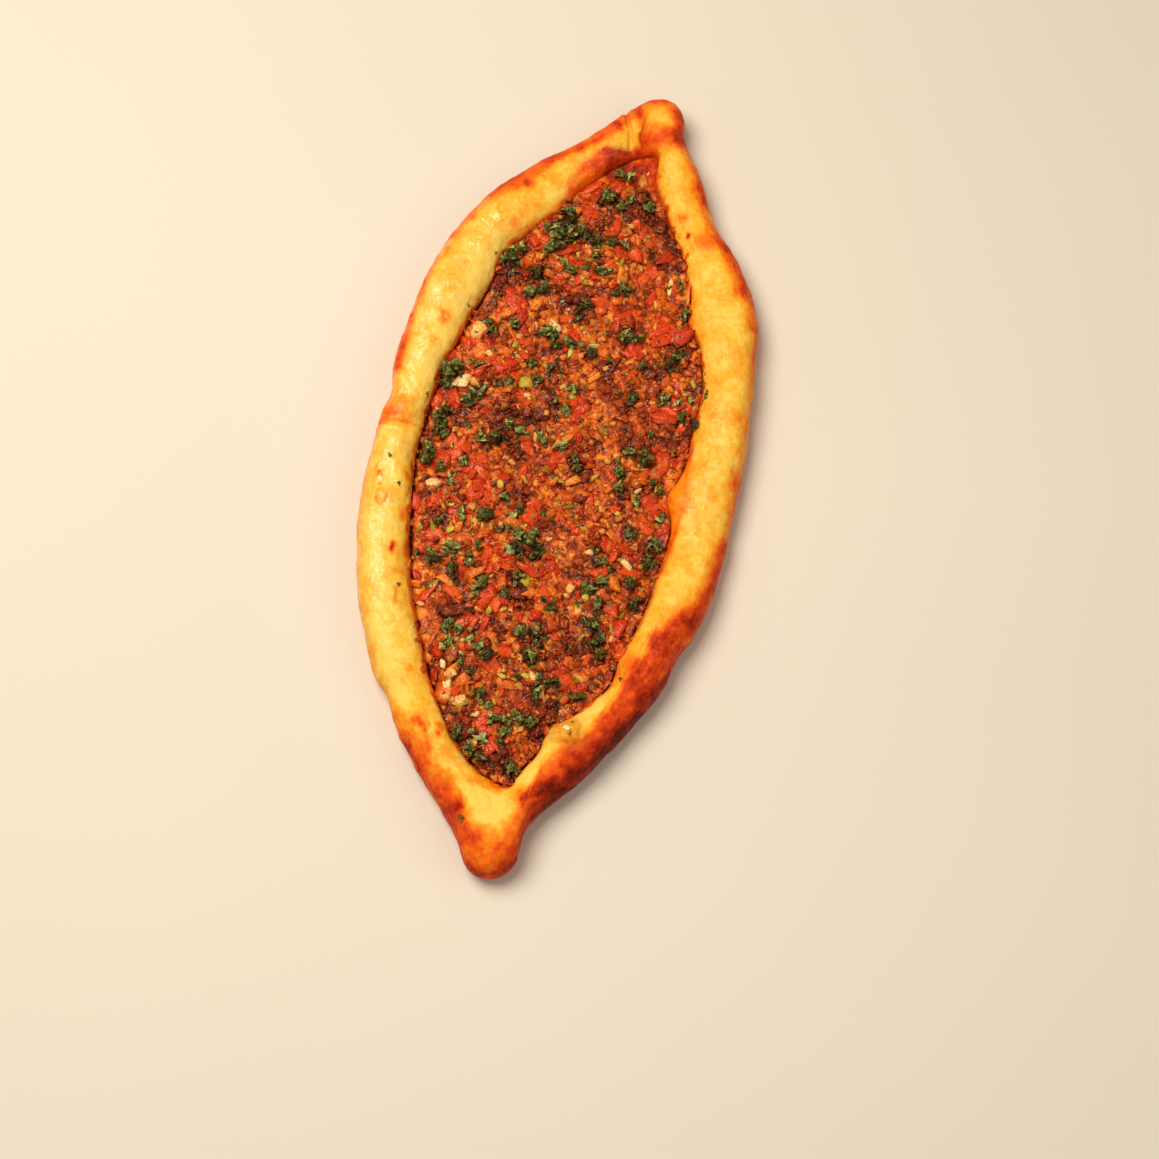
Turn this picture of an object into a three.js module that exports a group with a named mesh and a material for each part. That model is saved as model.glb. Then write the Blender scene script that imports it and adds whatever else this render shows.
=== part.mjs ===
// A boat-shaped open flatbread (pide): one piece of leavened dough whose edge is rolled up into a puffy rim and
// pinched to a blunt tip at each end, round a heap of minced-meat filling.
// Units are millimetres. +Y runs along the bread, +Z is up, and the origin is under the middle of the flat sole.

import * as THREE from "three";
import { mergeVertices } from "three/addons/utils/BufferGeometryUtils.js";

// Driving dimensions of the dough.
const BREAD_LENGTH = 380;
const RIM_HEIGHT = 21;
const FLOOR_THICKNESS = 5;
const HALF_LENGTH = BREAD_LENGTH / 2;

// Driving dimensions of the filling.
const FILLING_LEVEL = 12.5; // where it meets the rim
const FILLING_CROWN = 3; // how much higher the middle of the heap stands
const CLEARANCE = 0.4; // between the filling and the dough

// How finely the loop round the bread and its arcs are cut.
const LOOP_STEPS = 128;
const ARC_STEPS = 5;
const FILLET_STEPS = 3;

// An edge, seen from above, runs from tip to tip on both sides of the tip line. A side bulges by "half", and towards a
// tip it closes as half * (1 - reach^fullness)^taper, where reach goes from 0 at the middle to 1 at the tip.
// A swell is a soft bump of the edge (a dent where its size is negative), centred "at" that place along the bread.
const OUTER_EDGE = {
  top: HALF_LENGTH,
  bottom: -HALF_LENGTH,
  tipRadius: 12,
  left: {
    half: 94,
    top: { fullness: 3.4, taper: 1.08 },
    bottom: { fullness: 2.6, taper: 1.13 },
    swells: [
      { at: 18, size: -2, spread: 9 },
      { at: 160, size: -4.5, spread: 13 },
      { at: 179, size: 2, spread: 4 },
      { at: -121, size: -2, spread: 6 },
    ],
  },
  right: {
    half: 73,
    top: { fullness: 2.8, taper: 1.3 },
    bottom: { fullness: 3.1, taper: 1.95 },
    swells: [
      { at: 94, size: 3.5, spread: 22 },
      { at: 134, size: -4, spread: 15 },
      { at: -78, size: -3, spread: 11 },
      { at: -140, size: 4, spread: 15 },
    ],
  },
};

const INNER_EDGE = {
  top: 160,
  bottom: -149,
  tipRadius: 4,
  left: {
    half: 73.5,
    top: { fullness: 1.9, taper: 0.7 },
    bottom: { fullness: 1.7, taper: 0.6 },
    swells: [
      { at: 99, size: 3.5, spread: 10 },
      { at: 124, size: -2, spread: 9 },
    ],
  },
  right: {
    half: 47,
    top: { fullness: 3.1, taper: 1.6 },
    bottom: { fullness: 2.9, taper: 1.2 },
    swells: [
      { at: 82, size: -4, spread: 9 },
      { at: 50, size: 2.5, spread: 16 },
      { at: -4, size: -4.5, spread: 9 },
      { at: -96, size: 3, spread: 9 },
      { at: -121, size: -4.5, spread: 7 },
    ],
  },
};

// The rim's cross-section. Fractions across run from 0 at its inner edge to 1 at its outer edge.
const SOLE_EDGE = 0.82; // where the sole leaves the table
const CREST = 0.54; // the highest line of the roll
const BELLY_HEIGHT = 0.4; // height of the widest line, as a part of the rim's height
const LIP_HEIGHT = 0.5; // height of the inner edge, as a part of the rim's height
const OUTER_FULLNESS = 0.86; // under 1 makes an arc squarer than an ellipse, over 1 makes it flatter
const INNER_FULLNESS = 0.95;
const FOOT_REACH = 3; // how far the rim's inner foot runs out over the floor

// Where the rim is puffier or lower than usual, by side and place along the bread.
const RIM_SWELLS = [
  { side: "left", at: 75, size: 1.5, spread: 40 },
  { side: "left", at: -55, size: 1.2, spread: 35 },
  { side: "left", at: -130, size: -1.5, spread: 22 },
  { side: "right", at: 60, size: 1.2, spread: 35 },
  { side: "right", at: -20, size: -1.2, spread: 25 },
  { side: "right", at: -75, size: 1.5, spread: 20 },
  { side: "right", at: 140, size: -2, spread: 15 },
  { side: "left", at: 150, size: -1.5, spread: 16 },
];

// Folds where the dough was pinched or lapped over itself: grooves across the rim, along a line from one point to
// another, with the tip line as x = 0.
const CREASES = [
  { from: [-17, 181], to: [-9, 157], depth: 2.6, spread: 3.2 },
  { from: [-3, 167], to: [1, 156], depth: 2, spread: 3 },
  { from: [-96, 0], to: [-72, 5], depth: 1.8, spread: 5 },
  { from: [-22, -156], to: [-13, -168], depth: 2.2, spread: 4 },
];

// A gas bubble that swelled up the inner slope of the rim, beside the filling.
const BUBBLE = { at: [22, -121], rise: 3.2, spread: 7 };

// The heap's top is uneven: waves of these heights and lengths cross it at these headings, in degrees.
const HEAP_WAVES = [
  { height: 0.5, length: 61, heading: 12 },
  { height: 0.4, length: 37, heading: 64 },
  { height: 0.4, length: 43, heading: 118 },
  { height: 0.3, length: 25, heading: 160 },
];
const HEAP_RINGS = [0.04, 0.14, 0.26, 0.38, 0.5, 0.62, 0.74, 0.87]; // how far in each ring of the top lies, from the rim to the spine

const CRUST_COLOUR = 0xe9a63c;
const FILLING_COLOUR = 0x9c3f1c;

function swellSum(swells, y) {
  return swells.reduce((sum, swell) => sum + swell.size * Math.exp(-(((y - swell.at) / swell.spread) ** 2)), 0);
}

// How far an edge lies from the tip line at a place along the bread.
function halfWidth(edge, sideName, y) {
  const side = edge[sideName];
  const end = y > 0 ? side.top : side.bottom;
  const reach = Math.min(1, y / (y > 0 ? edge.top : edge.bottom));
  const body = side.half * (1 - reach ** end.fullness) ** end.taper + swellSum(side.swells, y);
  const fromTip = Math.min(edge.top - y, y - edge.bottom, edge.tipRadius);
  const roundTip = Math.sqrt(Math.max(0, fromTip * (2 * edge.tipRadius - fromTip)));
  const blend = 4; // joins the body and the round tip with a soft corner
  return (Math.max(0, body) ** blend + roundTip ** blend) ** (1 / blend);
}

// A turn round the loop, from the top tip down the right side and back up the left.
function loopStep(index) {
  const angle = (2 * Math.PI * index) / LOOP_STEPS;
  const evenness = 0.06; // spreads the steps more evenly along the sides than a plain cosine does
  const along = (Math.cos(angle) + evenness * Math.cos(3 * angle)) / (1 + evenness);
  return { along, sideName: angle < Math.PI ? "right" : "left" };
}

// The point of an edge at a step of the loop.
function edgePoint(edge, { along, sideName }) {
  const y = (edge.top + edge.bottom) / 2 + ((edge.top - edge.bottom) / 2) * along;
  const x = halfWidth(edge, sideName, y) * (sideName === "right" ? 1 : -1);
  return new THREE.Vector2(x, y);
}

function rimHeight({ sideName }, y) {
  return RIM_HEIGHT + swellSum(RIM_SWELLS.filter((swell) => swell.side === sideName), y);
}

// How far the creases sink the dough's skin, and the bubble lifts it, at a point seen from above.
function skinDrop(point) {
  const fromBubble = point.distanceTo(new THREE.Vector2(...BUBBLE.at));
  let drop = -BUBBLE.rise * Math.exp(-((fromBubble / BUBBLE.spread) ** 2));
  for (const crease of CREASES) {
    const start = new THREE.Vector2(...crease.from);
    const line = new THREE.Vector2(...crease.to).sub(start);
    const part = THREE.MathUtils.clamp(point.clone().sub(start).dot(line) / line.lengthSq(), 0, 1);
    const distance = point.distanceTo(start.addScaledVector(line, part));
    drop += crease.depth * Math.exp(-((distance / crease.spread) ** 2));
  }
  return drop;
}

// The rim's section as [fraction across, height] pairs, from under the belly up over the crest and down to its lip.
// The heights are parts of the rim's own height.
function rimSection() {
  const section = [];
  for (let i = 0; i < FILLET_STEPS; i++) {
    const angle = ((1 - i / FILLET_STEPS) * Math.PI) / 2;
    section.push([SOLE_EDGE + (1 - SOLE_EDGE) * Math.cos(angle), BELLY_HEIGHT * (1 - Math.sin(angle))]);
  }
  for (let i = 0; i < ARC_STEPS; i++) {
    const angle = ((i / ARC_STEPS) * Math.PI) / 2;
    const across = CREST + (1 - CREST) * Math.cos(angle) ** OUTER_FULLNESS;
    section.push([across, BELLY_HEIGHT + (1 - BELLY_HEIGHT) * Math.sin(angle) ** OUTER_FULLNESS]);
  }
  for (let i = 0; i <= ARC_STEPS; i++) {
    const angle = ((i / ARC_STEPS) * Math.PI) / 2;
    const across = CREST - CREST * Math.sin(angle) ** INNER_FULLNESS;
    section.push([across, LIP_HEIGHT + (1 - LIP_HEIGHT) * Math.cos(angle) ** INNER_FULLNESS]);
  }
  return section;
}

// The cavity's wall below the lip, as [reach in from the lip, height] pairs in millimetres, down to the floor.
function footSection(lipHeight) {
  const section = [];
  for (let i = 1; i <= FILLET_STEPS; i++) {
    const angle = ((i / FILLET_STEPS) * Math.PI) / 2;
    section.push([FOOT_REACH * (1 - Math.cos(angle)), lipHeight - (lipHeight - FLOOR_THICKNESS) * Math.sin(angle)]);
  }
  return section;
}

// Each step of the loop: the rim's inner and outer edge there, the way out between them, and its height.
function loopStations() {
  const stations = [];
  for (let index = 0; index < LOOP_STEPS; index++) {
    const step = loopStep(index);
    const inner = edgePoint(INNER_EDGE, step);
    const outer = edgePoint(OUTER_EDGE, step);
    const out = outer.clone().sub(inner);
    const height = rimHeight(step, outer.y);
    stations.push({ along: step.along, inner, width: out.length(), out: out.normalize(), height });
  }
  stations.forEach((station, index) => {
    const before = stations.at(index - 1).inner;
    const after = stations[(index + 1) % LOOP_STEPS].inner;
    const run = after.clone().sub(before).normalize();
    station.inward = new THREE.Vector2(run.y, -run.x); // square to the inner edge, into the cavity
  });
  return stations;
}

// A point at a distance out from the inner edge across the rim, or squarely in from the inner edge over the floor.
function stationPoint(station, outwards, inwards, z) {
  const at = station.inner.clone().addScaledVector(station.out, outwards).addScaledVector(station.inward, inwards);
  return new THREE.Vector3(at.x, at.y, z);
}

// The line in the middle of the cavity on which opposite steps of the loop meet, so that left and right share points.
function spinePoint(station, z) {
  const spineReach = 0.9; // keeps the ends of the spine clear of the tips
  const middle = (INNER_EDGE.top + INNER_EDGE.bottom) / 2;
  const y = middle + ((INNER_EDGE.top - INNER_EDGE.bottom) / 2) * spineReach * station.along;
  const x = (halfWidth(INNER_EDGE, "right", y) - halfWidth(INNER_EDGE, "left", y)) / 2;
  return new THREE.Vector3(x, y, z);
}

// A closed mesh from rings of points, each ring joined to the next. Flat triangles, where points coincide, are dropped.
function meshFromRings(rings) {
  const positions = rings.flat().flatMap((point) => point.toArray());
  const triangles = [];
  for (let row = 0; row + 1 < rings.length; row++) {
    for (let step = 0; step < LOOP_STEPS; step++) {
      const next = (step + 1) % LOOP_STEPS;
      const [a, b] = [row * LOOP_STEPS + step, row * LOOP_STEPS + next];
      const [c, d] = [a + LOOP_STEPS, b + LOOP_STEPS];
      triangles.push([a, c, b], [b, c, d]);
    }
  }
  const geometry = new THREE.BufferGeometry();
  geometry.setAttribute("position", new THREE.Float32BufferAttribute(positions, 3));
  geometry.setIndex(triangles.flat());
  const merged = mergeVertices(geometry, 0.001);
  const kept = [];
  for (let i = 0; i < merged.index.count; i += 3) {
    const corners = [0, 1, 2].map((k) => merged.index.getX(i + k));
    if (new Set(corners).size === 3) kept.push(...corners);
  }
  merged.setIndex(kept);
  merged.computeVertexNormals();
  return merged;
}

// The dough: sole, rolled rim and the floor under the filling, in one piece.
function crustGeometry(stations) {
  const rings = [stations.map((station) => spinePoint(station, 0))];
  for (const [across, high] of rimSection()) {
    rings.push(
      stations.map((station) => {
        const point = stationPoint(station, across * station.width, 0, high * station.height);
        const upperPart = THREE.MathUtils.smoothstep(high, BELLY_HEIGHT, 1);
        point.z -= upperPart * skinDrop(new THREE.Vector2(point.x, point.y));
        return point;
      }),
    );
  }
  for (let i = 0; i < FILLET_STEPS; i++) {
    rings.push(
      stations.map((station) => {
        const [reach, z] = footSection(LIP_HEIGHT * station.height)[i];
        return stationPoint(station, 0, reach, z);
      }),
    );
  }
  rings.push(stations.map((station) => spinePoint(station, FLOOR_THICKNESS)));
  return meshFromRings(rings);
}

// The level of the heap: higher towards the middle, with waves that die out at the rim.
function heapHeight(point, inward) {
  let z = FILLING_LEVEL + FILLING_CROWN * (1 - (1 - inward) ** 2);
  for (const wave of HEAP_WAVES) {
    const heading = THREE.MathUtils.degToRad(wave.heading);
    const travel = point.x * Math.cos(heading) + point.y * Math.sin(heading);
    z += Math.min(1, inward * 4) * wave.height * Math.sin((2 * Math.PI * travel) / wave.length);
  }
  return z;
}

// How far out of the lip the rim's inner face lies at a height above it: the inverse of its arc in rimSection.
function innerFaceReach(station, z) {
  const lip = LIP_HEIGHT * station.height;
  const climb = Math.max(0, (z - lip) / (station.height - lip)) ** (1 / INNER_FULLNESS);
  return CREST * station.width * (1 - Math.sqrt(1 - climb ** 2) ** INNER_FULLNESS);
}

// The filling: one heap that fits the dough's cavity with a small clearance.
function fillingGeometry(stations) {
  const rings = [stations.map((station) => spinePoint(station, FLOOR_THICKNESS + CLEARANCE))];
  for (let i = FILLET_STEPS - 1; i >= 0; i--) {
    rings.push(
      stations.map((station) => {
        const [reach, z] = footSection(LIP_HEIGHT * station.height)[i];
        return stationPoint(station, 0, reach + CLEARANCE, z + CLEARANCE);
      }),
    );
  }
  const wall = stations.map((station) => {
    const reach = innerFaceReach(station, FILLING_LEVEL - CLEARANCE);
    return stationPoint(station, reach, CLEARANCE, FILLING_LEVEL);
  });
  rings.push(wall);
  for (const inward of HEAP_RINGS) {
    rings.push(
      stations.map((station, step) => {
        const point = wall[step].clone().lerp(spinePoint(station, 0), inward);
        point.z = heapHeight(point, inward);
        return point;
      }),
    );
  }
  rings.push(
    stations.map((station) => {
      const point = spinePoint(station, 0);
      point.z = heapHeight(point, 1);
      return point;
    }),
  );
  return meshFromRings(rings);
}

function namedMesh(name, geometry, colour, roughness) {
  const material = new THREE.MeshStandardMaterial({ color: colour, roughness, metalness: 0 });
  const mesh = new THREE.Mesh(geometry, material);
  mesh.name = name;
  return mesh;
}

// Moves the bread so that the middle of its outline is over the origin.
function centreOnSole(group) {
  const middle = new THREE.Box3().setFromObject(group).getCenter(new THREE.Vector3());
  group.position.set(-middle.x, -middle.y, 0);
  return group;
}

const stations = loopStations();
const pide = new THREE.Group();
pide.add(namedMesh("crust", crustGeometry(stations), CRUST_COLOUR, 0.4));
pide.add(namedMesh("filling", fillingGeometry(stations), FILLING_COLOUR, 0.6));
centreOnSole(pide);

export default pide;
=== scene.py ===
# %% [markdown]
# # A minced-meat pide
#
# A pide is a boat of leavened dough. The baker stretches an oval, heaps raw mince with diced vegetables on
# it, rolls the edge up into a rim, pinches both ends and washes the rim with egg. The oven puffs the rim,
# browns it and cooks the filling until it glistens.
#
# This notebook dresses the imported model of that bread. The model gives the sizes, and everything below is
# made in the same frame: +Y along the bread, +Z up, the table at height 0.

# %% Load the frame
import math

import bmesh
import bpy
import numpy as np
from mathutils import Matrix, Vector, noise
from mathutils.bvhtree import BVHTree


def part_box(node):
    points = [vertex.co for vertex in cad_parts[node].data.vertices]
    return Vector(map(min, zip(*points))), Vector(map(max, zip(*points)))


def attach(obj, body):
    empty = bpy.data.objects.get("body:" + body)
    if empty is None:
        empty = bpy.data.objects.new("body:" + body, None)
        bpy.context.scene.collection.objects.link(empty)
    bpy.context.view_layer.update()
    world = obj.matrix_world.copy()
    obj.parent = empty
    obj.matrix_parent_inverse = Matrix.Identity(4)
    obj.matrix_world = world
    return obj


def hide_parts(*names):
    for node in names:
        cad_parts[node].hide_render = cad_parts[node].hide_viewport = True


MM = 0.001
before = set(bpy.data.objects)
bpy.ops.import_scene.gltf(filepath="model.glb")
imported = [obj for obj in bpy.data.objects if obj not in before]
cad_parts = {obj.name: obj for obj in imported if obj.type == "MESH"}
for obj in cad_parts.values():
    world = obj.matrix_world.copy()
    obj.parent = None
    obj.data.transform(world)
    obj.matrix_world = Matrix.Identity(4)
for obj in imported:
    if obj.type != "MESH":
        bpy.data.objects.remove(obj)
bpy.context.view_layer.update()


# %% [markdown]
# ## Working in millimetres
#
# A baker thinks in millimetres, so shapes are worked out in millimetres and turned to metres when a mesh is
# made. The dice are thrown by one seeded generator, so the bread comes out the same on every run.

# %% Dice, soft steps and the mesh maker
SEED = 1907
TINY = 1e-9
dice = np.random.default_rng(SEED)


def smoothstep(low, high, value):
    """0 up to `low`, 1 from `high` on, and an S between them."""
    part = np.clip((value - low) / (high - low), 0, 1)
    return part * part * (3 - 2 * part)


def bell(distance, width, power=2):
    """1 in the middle, falling softly to nothing past the width. A higher power flattens the top."""
    return np.exp(-((distance / width) ** power))


def make_mesh(name, points, faces, attributes):
    """A smooth-shaded object from points in millimetres, faces of one corner count and values per point."""
    mesh = bpy.data.meshes.new(name)
    corners = faces.shape[1]
    mesh.vertices.add(len(points))
    mesh.vertices.foreach_set("co", (points * MM).ravel())
    mesh.loops.add(faces.size)
    mesh.loops.foreach_set("vertex_index", faces.ravel())
    mesh.polygons.add(len(faces))
    mesh.polygons.foreach_set("loop_start", np.arange(0, faces.size, corners))
    mesh.polygons.foreach_set("use_smooth", np.ones(len(faces), bool))
    mesh.update(calc_edges=True)
    for key, values in attributes.items():
        mesh.attributes.new(key, "FLOAT", "POINT").data.foreach_set("value", np.asarray(values, float))
    made = bpy.data.objects.new(name, mesh)
    bpy.context.collection.objects.link(made)
    print(f"{name}: {len(points)} points, {len(faces) * (corners - 2)} triangles")
    return made


# %% [markdown]
# ## Lumps from noise
#
# Dough and mince are never smooth. A fractal noise with a size in millimetres gives their lumps: the size
# is the distance over which the surface rises and falls once. Each octave adds lumps half as wide and half
# as high.

# %% A noise with a real size
FALL, LACUNARITY = 1.0, 2.0
NEXT_SEED = Vector((17.3, -9.1, 5.7))


def lumps(points, size, octaves, seed):
    """Noise from about -1 to 1 at each point, with lumps of a size in millimetres."""
    shift = NEXT_SEED * seed
    return np.array([noise.fractal(Vector(p) / size + shift, FALL, LACUNARITY, octaves) for p in points])


def lump_sum(points, rows):
    """Lumps of several sizes. Each row is how high they are, their size, the octaves and the seed."""
    return sum(height * lumps(points, size, octaves, seed) for height, size, octaves, seed in rows)


# %% [markdown]
# ## The boat's outline
#
# Seen from above the bread has two edges: the outer edge of the rim and the inner edge, where the filling
# begins. Each is drawn from tip to tip on both sides of the line through the tips. They could be curves set
# by hand, but a formula keeps the few sizes that matter in sight: a side bulges by `half` and closes
# towards a tip as half * (1 - reach^fullness)^taper, with those two powers under `top` and `bottom`.
# Hand-shaped dough also has soft swells and dents, each with its place, size and spread. These are the
# driving sizes of the solid model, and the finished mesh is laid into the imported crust's box below.

# %% The two edges
LENGTH = (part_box("crust")[1].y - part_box("crust")[0].y) / MM

OUTER_EDGE = {
    "top": LENGTH / 2, "bottom": -LENGTH / 2, "tip": 12,
    "left": {"half": 94, "top": (3.4, 1.08), "bottom": (2.6, 1.13),
             "swells": [(18, -2, 9), (160, -4.5, 13), (179, 2, 4), (-121, -2, 6)]},
    "right": {"half": 73, "top": (2.8, 1.3), "bottom": (3.1, 1.95),
              "swells": [(94, 3.5, 22), (134, -4, 15), (-78, -3, 11), (-140, 4, 15)]},
}
INNER_EDGE = {
    "top": 160, "bottom": -149, "tip": 4,
    "left": {"half": 73.5, "top": (1.9, 0.7), "bottom": (1.7, 0.6), "swells": [(99, 3.5, 10), (124, -2, 9)]},
    "right": {"half": 47, "top": (3.1, 1.6), "bottom": (2.9, 1.2),
              "swells": [(82, -4, 9), (50, 2.5, 16), (-4, -4.5, 9), (-96, 3, 9), (-121, -4.5, 7)]},
}


def swell_sum(swells, y):
    return sum(size * bell(y - place, spread) for place, size, spread in swells)


def half_width(edge, side_name, y):
    """How far an edge lies from the tip line at places along the bread, with its tips rounded off."""
    side = edge[side_name]
    reach = np.clip(np.where(y > 0, y / edge["top"], y / edge["bottom"]), 0, 1)
    fullness, taper = (np.where(y > 0, side["top"][k], side["bottom"][k]) for k in (0, 1))
    body = np.maximum(0, side["half"] * (1 - reach**fullness) ** taper + swell_sum(side["swells"], y))
    from_tip = np.clip(np.minimum(edge["top"] - y, y - edge["bottom"]), 0, edge["tip"])
    round_tip = np.sqrt(from_tip * (2 * edge["tip"] - from_tip))
    return (body**4 + round_tip**4) ** 0.25


# %% [markdown]
# ## Walking round the rim
#
# The rim is a loft: one cross-section carried round a loop. Each station of the loop knows its inner edge,
# the way out to the outer edge, and how high the rim stands there. Steps of equal length would leave the
# tips angular, so the steps follow a cosine, which crowds them at the tips, and `EASE` takes a little of
# that crowding back.

# %% Stations of the loop
RIM_HEIGHT, EASE = 21, 0.06
RIM_SWELLS = {
    "left": [(75, 1.5, 40), (-55, 1.2, 35), (-130, -1.5, 22), (150, -1.5, 16)],
    "right": [(60, 1.2, 35), (-20, -1.2, 25), (-75, 1.5, 20), (140, -2, 15)],
}


def edge_points(edge, along, is_right):
    """Points on one side of an edge, for places from -1 at its bottom tip to 1 at its top."""
    y = (edge["top"] + edge["bottom"]) / 2 + (edge["top"] - edge["bottom"]) / 2 * along
    return np.stack([np.where(is_right, half_width(edge, "right", y), -half_width(edge, "left", y)), y], -1)


def loop_stations(steps):
    """The loop from the top tip down the right side and back up the left, with one row for each step."""
    angle = 2 * np.pi * np.arange(steps) / steps
    along = (np.cos(angle) + EASE * np.cos(3 * angle)) / (1 + EASE)
    is_right = angle < np.pi
    inner, outer = (edge_points(edge, along, is_right) for edge in (INNER_EDGE, OUTER_EDGE))
    width = np.linalg.norm(outer - inner, axis=1)
    run = np.roll(inner, -1, 0) - np.roll(inner, 1, 0)
    run /= np.linalg.norm(run, axis=1, keepdims=True)
    y = outer[:, 1]
    rise = np.where(is_right, swell_sum(RIM_SWELLS["right"], y), swell_sum(RIM_SWELLS["left"], y))
    return {
        "along": along, "is_right": is_right, "y": y, "inner": inner, "width": width,
        "out": (outer - inner) / width[:, None], "inward": np.stack([run[:, 1], -run[:, 0]], -1),
        "height": RIM_HEIGHT + rise,
    }


SPINE_REACH = 0.9


def spine(stations):
    """The line in the middle of the cavity, short of its tips, where opposite steps meet."""
    middle = (INNER_EDGE["top"] + INNER_EDGE["bottom"]) / 2
    y = middle + (INNER_EDGE["top"] - INNER_EDGE["bottom"]) / 2 * SPINE_REACH * stations["along"]
    return np.stack([(half_width(INNER_EDGE, "right", y) - half_width(INNER_EDGE, "left", y)) / 2, y], -1)


def loft_faces(rows, steps):
    """Four-cornered faces that join each ring of points to the next."""
    row, step = np.meshgrid(np.arange(rows - 1), np.arange(steps), indexing="ij")
    a = row * steps + step
    b = row * steps + (step + 1) % steps
    return np.stack([b, a, a + steps, b + steps], -1).reshape(-1, 4)


# %% [markdown]
# ## The rolled rim
#
# The roll's section is four arcs: out from the sole under the belly, up over the crest, down to the lip
# that holds the filling, and a small foot that runs out on the floor. A bevelled curve would give a round
# section without a foot or a sole, so the section is drawn here and scaled at every station. Arcs slightly
# squarer than an ellipse, made by powers below 1, look like dough that puffed against its own skin.

# %% The section of the rim
SOLE_EDGE, CREST, BELLY, LIP = 0.82, 0.54, 0.4, 0.5
OUTER_PUFF, INNER_PUFF = 0.86, 0.95
FLOOR, FOOT_REACH = 5, 3
LOOP_STEPS, UNDER_ROWS, OUTER_ROWS, INNER_ROWS, FOOT_ROWS = 1060, 11, 33, 34, 7
CREST_ROW = UNDER_ROWS + OUTER_ROWS


def rim_section():
    """Across (0 at the inner edge, 1 at the outer) and height (a part of the rim's), from the sole up."""
    a, b = (np.linspace(0, np.pi / 2, rows, endpoint=False) for rows in (UNDER_ROWS, OUTER_ROWS))
    c = np.linspace(0, np.pi / 2, INNER_ROWS)
    across = [SOLE_EDGE + (1 - SOLE_EDGE) * np.sin(a), CREST + (1 - CREST) * np.cos(b) ** OUTER_PUFF,
              CREST - CREST * np.sin(c) ** INNER_PUFF]
    high = [BELLY * (1 - np.cos(a)), BELLY + (1 - BELLY) * np.sin(b) ** OUTER_PUFF,
            LIP + (1 - LIP) * np.abs(np.cos(c)) ** INNER_PUFF]
    return np.concatenate(across), np.concatenate(high)


stations = loop_stations(LOOP_STEPS)
across, high = rim_section()
rim_xy = stations["inner"] + stations["out"] * (across[:, None] * stations["width"])[..., None]
rim_z = high[:, None] * stations["height"]
rim = np.concatenate([rim_xy, rim_z[..., None]], -1)
longest_step = np.linalg.norm(rim - np.roll(rim, 1, 1), axis=-1).max()
print("rim grid:", rim.shape, "longest step in mm:", longest_step.round(2))

# %% [markdown]
# The foot and the flat sole close the loft. They hide under the filling and on the table, so they stay
# plain.

# %% Foot, floor and sole
foot_angle = np.linspace(0, np.pi / 2, FOOT_ROWS + 1)[1:, None]
lip_height = LIP * stations["height"]
foot_in = FOOT_REACH * (1 - np.cos(foot_angle))
foot_z = lip_height - (lip_height - FLOOR) * np.sin(foot_angle)
foot_xy = stations["inner"] + stations["inward"] * np.broadcast_to(foot_in, foot_z.shape)[..., None]
foot = np.concatenate([foot_xy, foot_z[..., None]], -1)
sole_row, floor_row = (np.column_stack([spine(stations), np.full(LOOP_STEPS, z)])[None] for z in (0, FLOOR))
dough = np.concatenate([sole_row, rim, foot, floor_row])
rim_rows = slice(1, 1 + len(high))

# %% [markdown]
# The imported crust's box says where the bread lies. The tip line isn't in the middle of it, because the left
# side bulges more, so the whole grid moves sideways by the difference.

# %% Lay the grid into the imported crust's box
crust_low, crust_high = (np.array(corner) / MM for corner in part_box("crust"))
grid_low, grid_high = dough.min(axis=(0, 1)), dough.max(axis=(0, 1))
SHIFT = (crust_low + crust_high) / 2 - (grid_low + grid_high) / 2
SHIFT[2] = 0
dough += SHIFT
print("tip line lies", SHIFT.round(2), "mm from the middle of the box")

# %% [markdown]
# ## Sculpting the dough
#
# Three kinds of marks make dough look hand-shaped. Creases are where it was lapped or pinched. Blisters are
# gas bubbles that rose under the skin. Pits are bubbles that broke. They could be carved with a sculpting
# brush. Here each one is a row in a table, with its place on the bread in millimetres, so any of them can
# be moved by hand.

# %% Marks on the dough
# Folds: from, to, depth, half-width. The bubble: middle, height, radius. Both are those of the solid model
# and are measured from its tip line. All later places are measured from the middle of the bread's box.
FOLDS = [
    ((-17, 181), (-9, 157), 2.6, 3.2), ((-3, 167), (1, 156), 2.0, 3.0), ((-96, 0), (-72, 5), 1.8, 5.0),
    ((-22, -156), (-13, -168), 2.2, 4.0),
]
BUBBLE = ((22, -121), 3.2, 7)
# Fine creases: from, to, depth, half-width.
FINE_CREASES = [
    ((-5.8, 180), (-3.0, 171), 1.7, 0.8), ((-1.8, 170), (0.8, 160), 1.4, 0.8),
    ((5.8, 175), (4.6, 166), 0.9, 0.8), ((4.6, 166), (9.5, 156), 1.1, 0.9),
    ((-86, 1), (-62, 3.5), 1.2, 0.8), ((-84, -2), (-75, -0.5), 0.5, 0.7),
    ((-8.5, -157), (-4.5, -165), 0.9, 0.8), ((-6.5, -166), (-3, -163), 1.0, 0.8),
    ((-28, -134), (-24, -141), 0.5, 0.6), ((-26, -131), (-21, -134), 0.5, 0.6),
    ((-31, -150), (-23, -144), 0.4, 0.8), ((15, -160), (27, -151), 0.9, 0.7),
    ((19, -149), (28, -158), 0.7, 0.7), ((62, -60), (69, -73), 0.5, 0.8), ((51, -83), (61, -91), 0.6, 0.9),
    ((50, -93), (41, -100), 0.6, 0.8), ((35, -129), (45, -121), 0.5, 0.7), ((-80, 30), (-71, 22), 0.4, 0.8),
    ((57, 10), (66, 8), 0.3, 0.8), ((-2, -152), (8, -150), 0.5, 0.9),
]
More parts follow.
